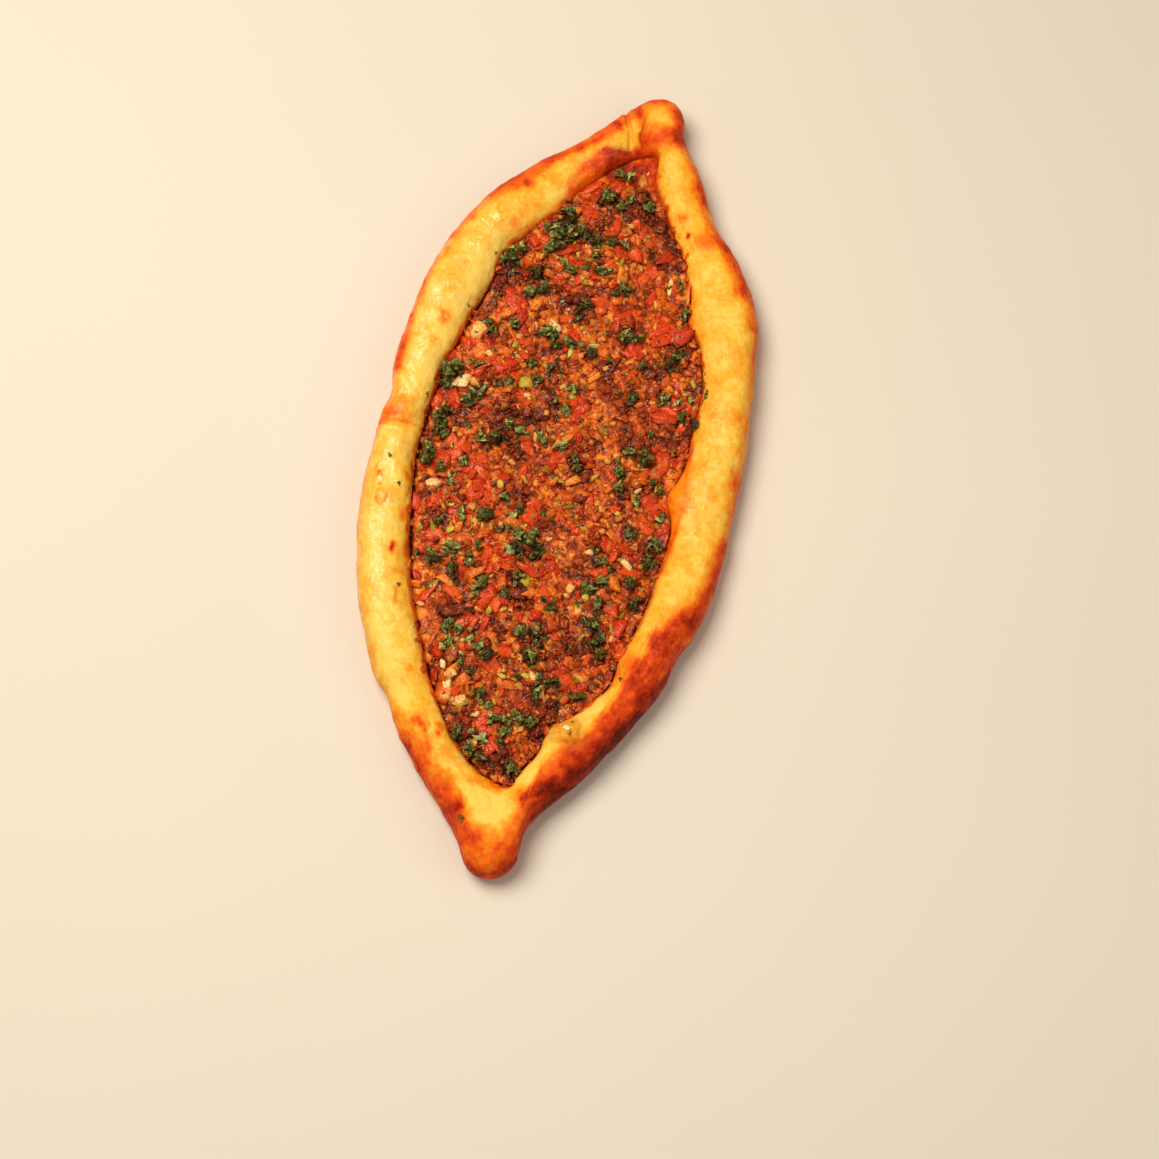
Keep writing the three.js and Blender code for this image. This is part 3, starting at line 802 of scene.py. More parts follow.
ORANGE_PIECES = [
    (30, 91, 5.0, 2.4, 106), (10, 85, 4.2, 2.8, 100), (-24, -114, 4.2, 3.2, 96), (-46, 47, 4.6, 3.4, 62),
    (-42, 8, 4.0, 2.2, 45), (2, 12, 5.0, 1.6, 46), (39, -50, 3.0, 2.3, 0), (10, 57, 2.8, 2.3, 159),
    (-35, -64, 4.4, 1.9, 148), (11, 95, 4.2, 2.3, 98), (-17, -106, 3.2, 2.0, 72), (-38, 67, 3.4, 1.5, 41),
    (8, 44, 3.4, 1.5, 37), (-25, 74, 3.4, 1.9, 88), (-22, -58, 3.2, 1.5, 28), (-1, -85, 2.8, 1.5, 56),
    (-23, -103, 3.6, 1.6, 38), (-36, -39, 2.4, 1.5, 94), (23, -66, 3.4, 1.5, 64), (9, -6, 3.2, 1.4, 28),
    (-23, -44, 3.8, 1.0, 36), (42, 93, 4.4, 1.0, 93),
]
PALE_PIECES = [
    (-51, 31, 3.2, 2.9, 0, 0.95), (-50, 56, 3.8, 2.8, 60, 0.7), (-15, 66, 3.2, 1.4, 153, 0.9),
    (29, 86, 2.2, 1.1, 120, 0.6), (33, 96, 3.8, 0.9, 92, 0.9), (25, -38, 1.8, 1.3, 154, 0.8),
    (42, -40, 2.8, 1.3, 145, 0.8), (-41, -68, 1.8, 1.2, 76, 0.5), (25, -65, 2.4, 1.5, 94, 0.7),
    (36, 48, 1.6, 1.1, 76, 0.7), (19, -56, 1.9, 1.5, 72, 0.7), (38, -6, 2.6, 0.9, 68, 0.8),
    (-24, -108, 2.6, 0.9, 103, 0.6), (-18, -117, 3.2, 2.0, 30, 0.7), (-8, -72, 1.6, 0.9, 45, 0.5),
    (10, 146, 2.6, 2.0, 124, 0.3), (32.5, -121, 1.5, 1.0, 160, 1.0), (-41, 46, 1.6, 1.0, 150, 0.8),
    (-28, -102, 1.7, 1.2, 90, 0.9), (-24, -106, 2.4, 1.7, 40, 0.75), (-24, -111, 2.2, 1.6, 100, 0.85),
    (-24, -116, 1.9, 1.2, 20, 0.7), (-9, -121, 1.6, 1.2, 0, 0.7), (12, -99, 2.2, 1.2, 130, 0.8),
    (17, -105, 2.6, 1.1, 112, 0.7), (-53, -20, 2.8, 1.8, 20, 0.9), (-6, -133, 1.8, 1.3, 80, 0.6),
    (-20, 30, 1.5, 1.1, 30, 0.7),
]
GREEN_PIECES = [
    (9, 103, 3.0, 0.9, 68), (-6, 101, 2.4, 0.9, 12), (-47, -40, 2.6, 1.3, 102), (22, 65, 2.0, 1.2, 71),
    (-15, -118, 2.6, 0.8, 20), (-12, -10, 2.4, 0.7, 133), (27, -57, 2.4, 1.2, 102), (-22, 36, 3.0, 2.6, 20),
    (-1, -56, 2.6, 2.0, 80), (-5, -117, 2.0, 1.0, 0),
]
MINCE_LUMPS = [
    (-54, 4, 4.6, 3.6, 20), (-44, 88, 4.4, 3.6, 50), (-40, 80, 3.4, 2.8, 10), (14, 135, 4.6, 3.6, 160),
    (22, 124, 3.8, 3.0, 70), (48, 66, 4.0, 3.2, 100), (36, 108, 4.0, 3.0, 30), (-31, -77, 4.4, 3.4, 10),
    (-12, 22, 4.0, 3.0, 60), (-12, -130, 4.2, 3.2, 40), (6, -134, 3.6, 2.8, 120), (-2, -64, 3.6, 2.8, 0),
    (50, 22, 3.6, 2.8, 80), (38, -86, 3.8, 3.0, 30),
]

# %% [markdown]
# ## Zones of the heap
#
# The mix isn't even. The mince sticks together in dark brown islands, tomato melts into red pools, and the
# orange sauce and the vegetables lie between them. In a few places by the rim, and in the tip by the knob,
# there is only thin sauce on dough. Three maps say so, each from 0 to 1: `meaty`, `red` and `bare`. Along
# the left wall the heap shrank away in the oven and left a moat about 2 mm wide, whose dark red-brown is
# partly sauce and partly painted shadow of the wall. The patches are slow, so their noise is worked out for
# every eighth cell and stretched.

# %% Meaty and bare zones
# Bare spots: middle, radius, and the sauce's shade from 0, dark red-brown, to 1, oily yellow-orange.
BARE_SPOTS = [
    ((-16, 140), 6, 0.66), ((-10, 147), 7, 0.6), ((-2, 150), 7.5, 0.3), ((5, 150), 6.5, 0.34),
    ((12, 150), 4, 0.5), ((-50.5, -60), 2.8, 0.9), ((-47.5, -70), 3.6, 0.98), ((-44, -80), 3.6, 0.92),
    ((-40, -90), 3.4, 0.86), ((-35.5, -99), 3.2, 0.8), ((-3, -147), 2.6, 0.9), ((5, -147.5), 2.6, 0.95),
    ((-25, -118), 2.6, 0.6), ((-22, -129), 2.4, 0.6), ((51, 3), 4.5, 0.75), ((51, -4), 3.5, 0.8),
    ((54, -8), 3, 0.75),
]
# Meaty spots: middle, radius.
MEATY_SPOTS = [
    ((-42, 88), 9), ((-46, 77), 6), ((-53, 4), 7), ((-30, -76), 9), ((12, 134), 9), ((5, 126), 7),
    ((24, 122), 8), ((48, 66), 8), ((34, 110), 6), ((50, 24), 8), ((-14, -126), 8), ((20, -118), 7),
    ((4, -140), 7), ((30, 20), 8), ((-14, 22), 9), ((-24, 10), 7), ((34, -78), 8), ((-4, -64), 7),
    ((48, -30), 6), ((20, 70), 6), ((-30, -118), 6), ((40, -90), 7), ((-8, 86), 6), ((-30, 40), 5),
    ((14, 40), 6), ((-12, -16), 6),
]
# The moat's dark tone stands partly for sauce and partly for the painted shadow of the left wall.
MOAT_WIDTH, MOAT_DEPTH, MOAT_SHADOW_TONE = 2.2, 0.95, 0.12
MOAT_STARTS, MOAT_ENDS = (-135, -115), (40, 110)
TIP_STARTS, TIP_SHADE = (141, 145), 0.42
COARSE = 8
coarse_x, coarse_y = grid_x[::COARSE, ::COARSE], grid_y[::COARSE, ::COARSE]
coarse_places = np.column_stack([coarse_x.ravel(), coarse_y.ravel(), np.zeros(coarse_x.size)])


def patches(size, octaves, seed):
    """Slow noise for every coarse cell."""
    return lumps(coarse_places, size, octaves, seed).reshape(coarse_x.shape)


def all_cells(coarse):
    """A coarse map stretched over all the cells."""
    return np.repeat(np.repeat(coarse, COARSE, 0), COARSE, 1)[:rows, :columns]


meaty, red = 0.32 + 0.7 * patches(9, 3, 31), 0.12 + 0.75 * patches(10, 2, 33)
for (x, y), radius in MEATY_SPOTS:
    meaty += 0.65 * bell(np.hypot(coarse_x - x, coarse_y - y), radius)
for x, y, length, *_ in RED_PIECES:
    melted = bell(np.hypot(coarse_x - x, coarse_y - y), 1.3 * length)
    red, meaty = red + 0.7 * melted, meaty - 0.6 * melted
meaty, red = smoothstep(0.2, 0.95, all_cells(meaty)), smoothstep(0.15, 0.75, all_cells(red))
from_left_wall = half_width(INNER_EDGE, "left", grid_y - SHIFT[1]) + grid_x - SHIFT[0]
moat = bell(np.maximum(from_left_wall, 0), MOAT_WIDTH) * smoothstep(*MOAT_STARTS, grid_y)
moat *= 1 - smoothstep(*MOAT_ENDS, grid_y)
tip_sauce = smoothstep(*TIP_STARTS, grid_y)
bare, bare_shade = np.maximum(MOAT_DEPTH * moat, tip_sauce), np.where(tip_sauce > 0.3, TIP_SHADE, MOAT_SHADOW_TONE)
for (x, y), radius, shade in BARE_SPOTS:
    spot = bell(np.hypot(grid_x - x, grid_y - y), radius, 4)
    bare_shade = np.where(spot > 0.3, shade, bare_shade)
    bare = np.maximum(bare, spot)
print("mince covers", meaty.mean().round(2), "red pools", red.mean().round(2), "bare", bare.mean().round(2))

# %% [markdown]
# ## The heap's core
#
# Most crumbs of the heap are hidden under others, so the heap starts as one closed body that nearly fills
# the boat, and only its top layers are loose. Its top is pressed mince: thousands of grains, 1.5 to 3.5 mm
# across, each a low dome that overlaps its neighbours. Each grain has its own shade, kept in a second map,
# so colour and relief agree. Along the rim the heap clings to the dough and climbs it a little. Near the
# knob the thin sauce lies flush with the lip.

# %% Press grains into the core
CORE_SINK, BARE_SINK, CLIMB, CLIMB_REACH, WAVINESS = 1.9, 1.2, 1.5, 3.5, 0.55
APRON_STARTS, APRON_RISE, APRON_SLOPE = (126, 138), 0.5, 0.15
GRAINS, GRAIN_RADII, GRAIN_SQUEEZE = 15000, (0.75, 1.8), (0.7, 1.3)
SAUCE_SHADE, LEAN_SHADE, MEAT_DARKENS, SHADE_SPREAD = 0.6, 0.66, 0.42, 0.24
core_map = heap_level(grid_x, grid_y, grid_inward) - CORE_SINK - BARE_SINK * bare
core_map += CLIMB * bell(np.maximum(grid_room, 0), CLIMB_REACH) * (1 - moat)
core_map += WAVINESS * all_cells(patches(8, 2, 0)) * (1 - bare)
apron = bare * smoothstep(*APRON_STARTS, grid_y)
apron_level = LIP * RIM_HEIGHT + APRON_RISE + APRON_SLOPE * np.maximum(grid_room, 0)
core_map = core_map * (1 - apron) + apron * apron_level
core_tint = np.where(bare > 0.4, bare_shade, SAUCE_SHADE)
grain_x, grain_y = (dice.uniform(low, high, GRAINS) for low, high in zip(MAP_LOW, MAP_HIGH))
in_heap = room_inside(grain_x, grain_y) > 0.2
grain_x, grain_y = grain_x[in_heap], grain_y[in_heap]
grain_meaty, grain_bare = map_value(meaty, grain_x, grain_y), map_value(bare, grain_x, grain_y)
grain_tint = LEAN_SHADE - MEAT_DARKENS * grain_meaty + dice.normal(0, SHADE_SPREAD, len(grain_x))
grain_tint = np.clip(grain_tint, 0, 1)
grain_tint = np.where(grain_bare > 0.4, map_value(bare_shade, grain_x, grain_y), grain_tint)
for x, y, shade, thin in zip(grain_x, grain_y, grain_tint, grain_bare):
    radius = dice.uniform(*GRAIN_RADII) * (1 - 0.4 * thin)
    cells = window(*cell_at(x, y, MAP_LOW, CELL, core_map), int(radius / CELL) + 1)
    squeeze = dice.uniform(*GRAIN_SQUEEZE)
    gap2 = (((grid_x[cells] - x) * squeeze) ** 2 + ((grid_y[cells] - y) / squeeze) ** 2) / radius**2
    swell = 0.75 * radius * np.sqrt(np.clip(1 - gap2, 0, 1)) - 0.25 * radius
    dome = core_map[cells].mean() + (1 - 0.9 * thin) * swell
    wins = (gap2 < 1) & (dome > core_map[cells])
    core_map[cells] = np.where(wins, dome, core_map[cells])
    core_tint[cells] = np.where(wins, shade, core_tint[cells])
core_top = core_map[grid_room > 1]
print(len(grain_x), "grains, core top from", core_top.min().round(1), "to", core_top.max().round(1), "mm")

# %% [markdown]
# The core is a loft as well: rings that shrink from the inner edge to the cavity's middle line. Its base
# reaches a little into the foot of the dough, so there is no gap between them.

# %% Build the core
CORE_STEPS, CORE_RINGS = 960, 82
EDGE_IN, FOOT_IN, BASE_LIFT = 0.1, 3.2, 0.5
core_stations = loop_stations(CORE_STEPS)
core_spine = spine(core_stations) + SHIFT[:2]
core_edge = core_stations["inner"] + SHIFT[:2]
inward = np.linspace(0, 1, CORE_RINGS)[:, None, None]
top_xy = (core_edge + core_stations["inward"] * EDGE_IN) * (1 - inward) + core_spine * inward
top = np.dstack([top_xy, map_value(core_map, top_xy[..., 0], top_xy[..., 1])])
base_xy = np.array([core_spine, core_edge + core_stations["inward"] * FOOT_IN])
base = np.dstack([base_xy, np.full(base_xy.shape[:2], FLOOR + BASE_LIFT)])
core_grid = np.concatenate([base, top]).reshape(-1, 3)
core_shade, core_bare, core_red, core_bare_shade = (
    map_value(values, core_grid[:, 0], core_grid[:, 1]) for values in (core_tint, bare, red, bare_shade)
)
core_red *= smoothstep(0.3, 0.55, core_shade)
core_faces = loft_faces(2 + CORE_RINGS, CORE_STEPS)
core_values = {"tint": core_shade, "bare": core_bare, "red": core_red}
core = make_mesh("filling_core", core_grid, core_faces, core_values)
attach(core, "root")
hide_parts("filling")

# %% [markdown]
# ## A heap that remembers its height
#
# Loose pieces fall on what lies below them. A physics run would let them fall, but slowly, and it would
# come out otherwise on another machine. Instead the map of heights now takes the higher of the core and the
# crust, found by looking straight down at both. Each piece is laid on the mean height under it, tilted to
# the slope there, and raises the map. Pieces that come later lie on those that came before: nothing floats
# and nothing is swallowed.

# %% Look down on core and crust
LAY_CELL, STEEPEST = 0.5, 0.8
LAY_LOW, LAY_HIGH = (-84, -190), (84, 190)
EYE_HEIGHT, NOTHING = 60, -9.0
lay_x, lay_y = (np.arange(low, high, LAY_CELL) + LAY_CELL / 2 for low, high in zip(LAY_LOW, LAY_HIGH))
lay_grid_x, lay_grid_y = np.meshgrid(lay_x, lay_y)
crust_tree = BVHTree.FromPolygons(dough.reshape(-1, 3).tolist(), crust_faces.tolist())
heap = np.full(lay_grid_x.shape, NOTHING)
for row, y in enumerate(lay_y):
    for column, x in enumerate(lay_x):
        hit = crust_tree.ray_cast(Vector((x, y, EYE_HEIGHT)), Vector((0, 0, -1)))[0]
        if hit is not None:
            heap[row, column] = hit.z
over_core = room_inside(lay_grid_x, lay_grid_y) > 0.3
heap = np.where(over_core, np.maximum(heap, map_value(core_map, lay_grid_x, lay_grid_y)), heap)
print("laying map", heap.shape, "highest", heap.max().round(1), "mm")


def lay_piece(x, y, radius, thickness, sink):
    """Where a piece comes to lie: its middle's height and the slope under it. The map rises by the piece."""
    cells = window(*cell_at(x, y, LAY_LOW, LAY_CELL, heap), max(1, int(round(radius / LAY_CELL))))
    under = heap[cells]
    drops = under[:, -1].mean() - under[:, 0].mean(), under[-1].mean() - under[0].mean()
    middle = under.mean() + thickness * (0.5 - sink)
    gap = np.hypot(lay_grid_x[cells] - x, lay_grid_y[cells] - y) / max(radius, LAY_CELL)
    dome = middle + thickness / 2 * np.sqrt(np.clip(1 - gap**2, 0, 1))
    heap[cells] = np.where(gap < 1, np.maximum(under, dome), under)
    return middle, np.clip(np.array(drops) / (2 * radius), -STEEPEST, STEEPEST)

# %% [markdown]
# ## Shapes of the pieces
#
# Three templates cover the whole mix. Minced meat is lumpy balls with broken sides. Diced vegetables are
# soft-cornered blocks, skewed because no cook cuts square. Parsley is small ruffled leaf tips with a real
# thickness. Each template is made in a few versions of unit size, and every piece in the heap is a turned
# and stretched copy of one of them, which is quicker than modelling thousands and still lets no two look
# alike.

# %% Meat crumbs


def taken_apart(made):
    """The points and triangles of a bmesh."""
    bmesh.ops.triangulate(made, faces=made.faces[:])
    points = np.array([v.co for v in made.verts])
    faces = np.array([[v.index for v in f.verts] for f in made.faces])
    made.free()
    return points, faces


def crumb_shapes(count, fineness, roughness, knob, broken_sides=6):
    """Lumpy balls with flat broken sides and knobs of one size, like mince that fell apart in the pan."""
    shapes = []
    for version in range(count):
        made = bmesh.new()
        bmesh.ops.create_icosphere(made, subdivisions=fineness, radius=1)
        points, faces = taken_apart(made)
        for _ in range(broken_sides):
            side = dice.normal(size=3)
            side /= np.linalg.norm(side)
            points = points - side * np.maximum(0, points @ side - dice.uniform(0.4, 0.8))[:, None]
        knobs = [(roughness, knob, 2, 40 + version), (0.5 * roughness, knob / 2, 1, 60 + version)]
        shapes.append((points * (1 + lump_sum(points, knobs))[:, None], faces))
    return shapes


# %% Diced vegetables


def dice_shapes(count, corner, skew, cuts=3):
    """Blocks with soft corners: a cube's grid pulled part of the way to a ball, then skewed and dented."""
    shapes = []
    for version in range(count):
        made = bmesh.new()
        bmesh.ops.create_cube(made, size=2)
        bmesh.ops.subdivide_edges(made, edges=made.edges[:], cuts=cuts - 1, use_grid_fill=True)
        points, faces = taken_apart(made)
        ball = points / np.linalg.norm(points, axis=1, keepdims=True) * 1.25
        points = points * (1 - corner) + ball * corner
        shear = np.eye(3) + dice.uniform(-skew, skew, (3, 3)) * [[0, 1, 0.5], [1, 0, 0.5], [0, 0, 0]]
        wedge = 1 + points[:, :1] * dice.uniform(-0.3, 0.3) + points[:, 1:2] * dice.uniform(-0.2, 0.2)
        points = points @ shear.T * wedge
        points *= 1 + 0.2 * lumps(points, 0.9, 2, 80 + version)[:, None]
        shapes.append((points, faces))
    return shapes


# %% Parsley leaf tips
LEAF_SPOKES, LEAF_RINGS, HALF_LEAF = 9, (0.5, 1), 0.08


def leaf_faces():
    """Triangles of the upper sheet, of the lower one, and of the rim that closes them."""
    half = 1 + len(LEAF_RINGS) * LEAF_SPOKES
    upper, rim_faces = [], []
    for k in range(LEAF_SPOKES):
        a, b = 1 + k, 1 + (k + 1) % LEAF_SPOKES
        c, d = a + LEAF_SPOKES, b + LEAF_SPOKES
        upper += [[0, a, b], [a, c, b], [b, c, d]]
        rim_faces += [[c, half + c, d], [d, half + c, half + d]]
    lower = [[half + a, half + c, half + b] for a, b, c in upper]
    return np.array(upper + lower + rim_faces)


def leaf_shapes(count):
    """Ruffled, jagged leaf tips, closed above and below."""
    shapes, turn = [], 2 * np.pi * np.arange(LEAF_SPOKES) / LEAF_SPOKES
    for version in range(count):
        edge = 0.9 + 0.3 * np.cos(3 * turn + dice.uniform(0, 6)) + dice.uniform(-0.3, 0.3, LEAF_SPOKES)
        sheet = [np.zeros((1, 3))]
        for part in LEAF_RINGS:
            lift = part**2 * (dice.uniform(-0.2, 0.2, LEAF_SPOKES) + 0.22 * np.cos(2 * turn + version))
            sheet.append(np.column_stack([np.cos(turn) * edge * part, np.sin(turn) * edge * part, lift]))
        sheet = np.concatenate(sheet)
        points = np.concatenate([sheet + [0, 0, HALF_LEAF], sheet - [0, 0, HALF_LEAF]])
        shapes.append((points, leaf_faces()))
    return shapes


# %% [markdown]
# ## Scattering
#
# A `Kind` collects the pieces of one ingredient. Adding one picks a version, stretches and turns it, tilts
# it to the slope of the heap, and keeps its points. A particle system could strew them too, but its pieces
# would cut through each other, and they have to become real meshes in the end. At the end each kind becomes
# one joined mesh, with a `tint` from 0 to 1 for each piece, so that no two neighbours need have the same
# colour.

# %% The collector
THINNEST, LAID_THIN, LAID_STILL = 0.7, 0.6, 0.4
FOOTPRINT = 0.85


class Kind:
    def __init__(self, name, shapes, stretch, wobble):
        self.name, self.shapes, self.stretch, self.wobble = name, shapes, np.array(stretch), wobble
        self.points, self.faces, self.tints, self.count = [], [], [], 0

    def add(self, x, y, radius, width=None, turn=None, sink=0.35, tint=None):
        """A piece of that half-length at a place. Half-width and turn in degrees are free unless given."""
        points, faces = self.shapes[dice.integers(len(self.shapes))]
        spread = self.stretch * dice.uniform(0.8, 1.2, 3) * radius
        wobble = self.wobble
        if width is not None:
            spread = np.array([radius, width, max(THINNEST, spread[2] * LAID_THIN)])
            wobble *= LAID_STILL
        z, slope = lay_piece(x, y, 0.5 * (spread[0] + spread[1]) * FOOTPRINT, spread[2] * 2, sink)
        angle = dice.uniform(0, 2 * math.pi) if turn is None else math.radians(turn)
        up = Vector((-slope[0] + dice.normal(0, wobble), -slope[1] + dice.normal(0, wobble), 1)).normalized()
        tilt = Vector((0, 0, 1)).rotation_difference(up).to_matrix()
        turned = np.array(tilt @ Matrix.Rotation(angle, 3, "Z"))
        self.points.append((points * spread) @ turned.T + [x, y, z])
        self.faces.append(faces + self.count)
        self.tints.append(np.full(len(points), dice.uniform() if tint is None else tint))
        self.count += len(points)

    def build(self, material):
        points = np.concatenate(self.points)
        # How deep each point lies in the heap, which the material darkens as painted shade.
        values = {"tint": np.concatenate(self.tints), "sunk": sunk(points)}
        made = make_mesh(self.name, points, np.concatenate(self.faces), values)
        made.data.materials.append(material)
        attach(made, "root")


# Each kind: name, versions, how far a version is stretched along, across and up, and how much it wobbles.
grains = Kind("mince_grains", crumb_shapes(14, 2, 0.3, 0.6), (1.0, 0.85, 0.75), 0.35)
clumps = Kind("mince_clumps", crumb_shapes(14, 3, 0.34, 0.38), (1.0, 0.8, 0.5), 0.25)
tomato = Kind("tomato_pieces", dice_shapes(14, 0.3, 0.5, 4), (1.0, 0.7, 0.26), 0.22)
orange = Kind("orange_pepper_pieces", dice_shapes(14, 0.15, 0.5), (1.0, 0.66, 0.36), 0.3)
onion = Kind("onion_dice", dice_shapes(10, 0.3, 0.3), (1.0, 0.7, 0.4), 0.25)
green = Kind("green_pepper_pieces", dice_shapes(8, 0.3, 0.4), (1.0, 0.5, 0.36), 0.3)
parsley = Kind("parsley_leaves", leaf_shapes(18), (1.1, 0.6, 0.9), 0.4)
fine = Kind("fine_crumbs", crumb_shapes(10, 1, 0.3, 0.6, 3), (1.0, 0.85, 0.8), 0.5)
shreds = Kind("stewed_shreds", crumb_shapes(10, 1, 0.3, 0.6, 2), (1.0, 0.3, 0.24), 0.4)

# %% [markdown]
# A random place is kept or thrown again by how well the kind of piece suits the zone: mince goes to the
# meaty islands, vegetables between them, and very little to the bare places.

# %% Random places


def random_place(margin, zone="any"):
    """A place inside the inner edge, with a margin to it in millimetres, that suits a zone."""
    while True:
        x, y = (dice.uniform(low, high) for low, high in zip(MAP_LOW, MAP_HIGH))
        if room_inside(x, y) < margin:
            continue
        how_meaty, how_red, how_bare = (map_value(values, x, y) for values in (meaty, red, bare))
        liking = {
            "any": 1,
            "meat": 0.04 + 0.96 * how_meaty,
            "greens": (1 - 0.92 * how_meaty) * (1 - 0.4 * how_red),
            "red": (1 - 0.95 * how_meaty) * (0.15 + 0.85 * how_red),
        }
        if dice.uniform() < liking[zone] * (1 - 0.985 * how_bare):
            return x, y


def scatter(kind, count, sizes, margin, sink, zone, tints=(0, 1)):
    for _ in range(count):
        kind.add(*random_place(margin, zone), dice.uniform(*sizes), sink=sink, tint=dice.uniform(*tints))


def crumbs(kind, count, sizes, margin=0.0):
    """Fine bits, brown on the mince and of every colour between."""
    for _ in range(count):
        x, y = random_place(margin)
        most = 1 - 0.8 * map_value(meaty, x, y)
        kind.add(x, y, dice.uniform(*sizes), sink=0.3, tint=dice.uniform() * most)


def cluster(kind, count, sizes, spread, zone):
    """Pieces round one random place, in nearly one shade."""
    x, y = random_place(1, zone)
    shade = dice.uniform()
    for _ in range(count):
        px, py = x + dice.normal(0, spread), y + dice.normal(0, spread)
        if room_inside(px, py) > 0:
            size = dice.uniform(*sizes)
            kind.add(px, py, size, sink=0.3, tint=np.clip(shade + dice.normal(0, 0.15), 0, 1))


# %% [markdown]
# The mix goes down in three layers, each with mince first and vegetables after, as they lie in a spoonful.
# Broad soft tomato comes next, then the pieces with a place of their own.

# %% Scatter the mix in layers
for layer in range(3):
    scatter(clumps, 105, (1.6, 3.6), 1.0, 0.5, "meat")
    for _ in range(34):
        cluster(grains, dice.integers(6, 13), (0.7, 1.5), dice.uniform(1.5, 3.0), "meat")
    crumbs(fine, 560, (0.4, 0.95))
    scatter(orange, 190, (0.9, 3.0), 0.6, 0.6, "greens", (0, 0.75))
    scatter(tomato, 110, (1.1, 3.8), 0.8, 0.65, "red")
    crumbs(shreds, 420, (0.9, 2.3), 0.5)
    scatter(onion, 90, (0.7, 1.9), 0.8, 0.5, "greens", (0, 0.65))
    scatter(green, 45, (0.8, 2.4), 0.8, 0.4, "greens")
scatter(tomato, 36, (3.0, 4.8), 2.0, 0.62, "red", (0.3, 0.95))

# %% Lay the notable pieces
# Each kind with its rows, how deep they sink, and the shades to pick from.
LAID = [
    (clumps, MINCE_LUMPS, 0.35, (0.0, 0.3)), (tomato, RED_PIECES, 0.55, (0.25, 0.75)),
    (orange, ORANGE_PIECES, 0.4, (0.45, 0.95)),
]
for kind, pieces, sink, shades in LAID:
    for piece in pieces:
        kind.add(*piece, sink, dice.uniform(*shades))
for *piece, shade in PALE_PIECES:
    onion.add(*piece, 0.25, shade)
for piece in GREEN_PIECES:
    green.add(*piece, 0.25)

# %% [markdown]
# Parsley is thrown on last, chopped, wet and in tufts. Some of it lands on the crust.

# %% Parsley in tufts
# Tufts: middle x and y, spread, leaves. Flakes on the crust: middle x and y, half-length.
TUFTS = [
    (-20, 119, 3.2, 18), (-14, 112, 3.0, 14), (-22, 105, 2.8, 14), (-24, 112, 2.0, 6), (-6, -39, 2.8, 14),
    (-9, -43, 2.2, 6), (41, 60, 2.3, 17), (-20, -64, 1.8, 13), (27, -55, 1.5, 8), (-56, 12, 1.8, 10),
    (29, 4, 1.7, 12), (14, -119, 1.9, 12), (-29, 4, 1.5, 10), (-46, -38, 1.2, 5), (32, -5, 1.4, 9),
    (39, 12, 1.6, 10), (-45, -53, 1.6, 11), (22, 66, 1.3, 7), (-26, -31, 1.4, 8), (-36, -32, 1.3, 8),
    (-38, -48, 1.5, 10), (-2, 78, 1.2, 7), (3, 112, 1.3, 7), (2, 96, 1.3, 8), (-4, 134, 1.7, 12),
    (4, 131, 1.3, 7), (15, 134, 1.5, 8), (-57, 33, 1.6, 13), (-55, 36, 1.2, 6), (-46, 93, 1.5, 11),
    (-40, 99, 1.3, 8), (-16, -132, 1.6, 9), (-7, -138, 1.6, 10), (13, -142, 1.2, 8), (40, -25, 1.2, 7),
    (-50, -13, 1.5, 8), (48, -57, 1.4, 7), (50, -36, 1.6, 9), (22, -100, 1.5, 9), (9, -92, 1.4, 8),
    (-30, -95, 1.5, 8), (-3, 147, 1.2, 6), (4, 147, 1.0, 4), (-46, 22, 1.4, 8), (-59, 28, 1.3, 7),
    (28, 38, 1.2, 7), (44, 84, 1.1, 6), (37, 97, 1.1, 7), (-10, -96, 1.4, 8), (-28, -52, 1.3, 7),
]
CRUST_FLAKES = [
    (-73, -14, 1.3), (-66, -26, 1.2), (-55, -72, 1.2), (60, 47, 1.5), (60, 45, 1.2), (-4, -168, 1.4),
    (-4, -170, 1.1), (-55.5, 66, 1.1), (-64, 19.5, 1.6), (-63.5, 15, 1.0), (-56, 54, 0.9), (34, -123, 1.0),
    (34, -117, 0.7), (-49, 94, 0.9), (50, -93, 1.1),
]


def tuft(x, y, spread, leaves, sizes=(0.9, 3.2)):
    """Leaves strewn along a short stroke, as they fall off the knife, most of them dark and a few fresh."""
    freshness, heading = dice.uniform(0.0, 0.5), dice.uniform(0, math.pi)
    for _ in range(int(0.75 * leaves + 0.5)):
        along, aside = dice.normal(0, 1.15 * spread), dice.normal(0, 0.7 * spread)
        px = x + along * math.cos(heading) - aside * math.sin(heading)
        py = y + along * math.sin(heading) + aside * math.cos(heading)
        if room_inside(px, py) > -0.5:
            size = dice.uniform(*sizes)
            parsley.add(px, py, size, sink=0.25, tint=np.clip(freshness + dice.exponential(0.22), 0, 1))


for x, y, spread, leaves in TUFTS:
    tuft(x, y, spread, leaves)
for _ in range(135):
    tuft(*random_place(1.0), dice.uniform(0.8, 2.4), dice.integers(2, 8))
for _ in range(460):
    tuft(*random_place(0.3), 0.1, 1, (0.4, 1.2))
for x, y, size in CRUST_FLAKES:
    parsley.add(x, y, size, size * 0.7, dice.uniform(0, 180), 0.1, 0.3)
crumbs(fine, 700, (0.3, 0.65))
crumbs(shreds, 260, (0.7, 1.6), 0.5)

# %% [markdown]
# The heap has no clean edge. Crumbs, bits of vegetable and specks of herb lie on the foot of the dough's
# slope, but not in the tip, where only thin sauce reaches.

# %% Litter along the edge
LITTER_OUT, LITTER_IN, LITTER_END = 1.6, 0.6, 136


def litter(kind, count, sizes, tints):
    """Small pieces just outside and just inside the inner edge."""
    for _ in range(count):
        step = dice.integers(LOOP_STEPS)
        outward = dice.uniform(-LITTER_IN, LITTER_OUT) * dice.uniform()
        x, y = stations["inner"][step] - stations["inward"][step] * outward + SHIFT[:2]
        if y <= LITTER_END:
            kind.add(x, y, dice.uniform(*sizes), sink=0.4, tint=dice.uniform(*tints))


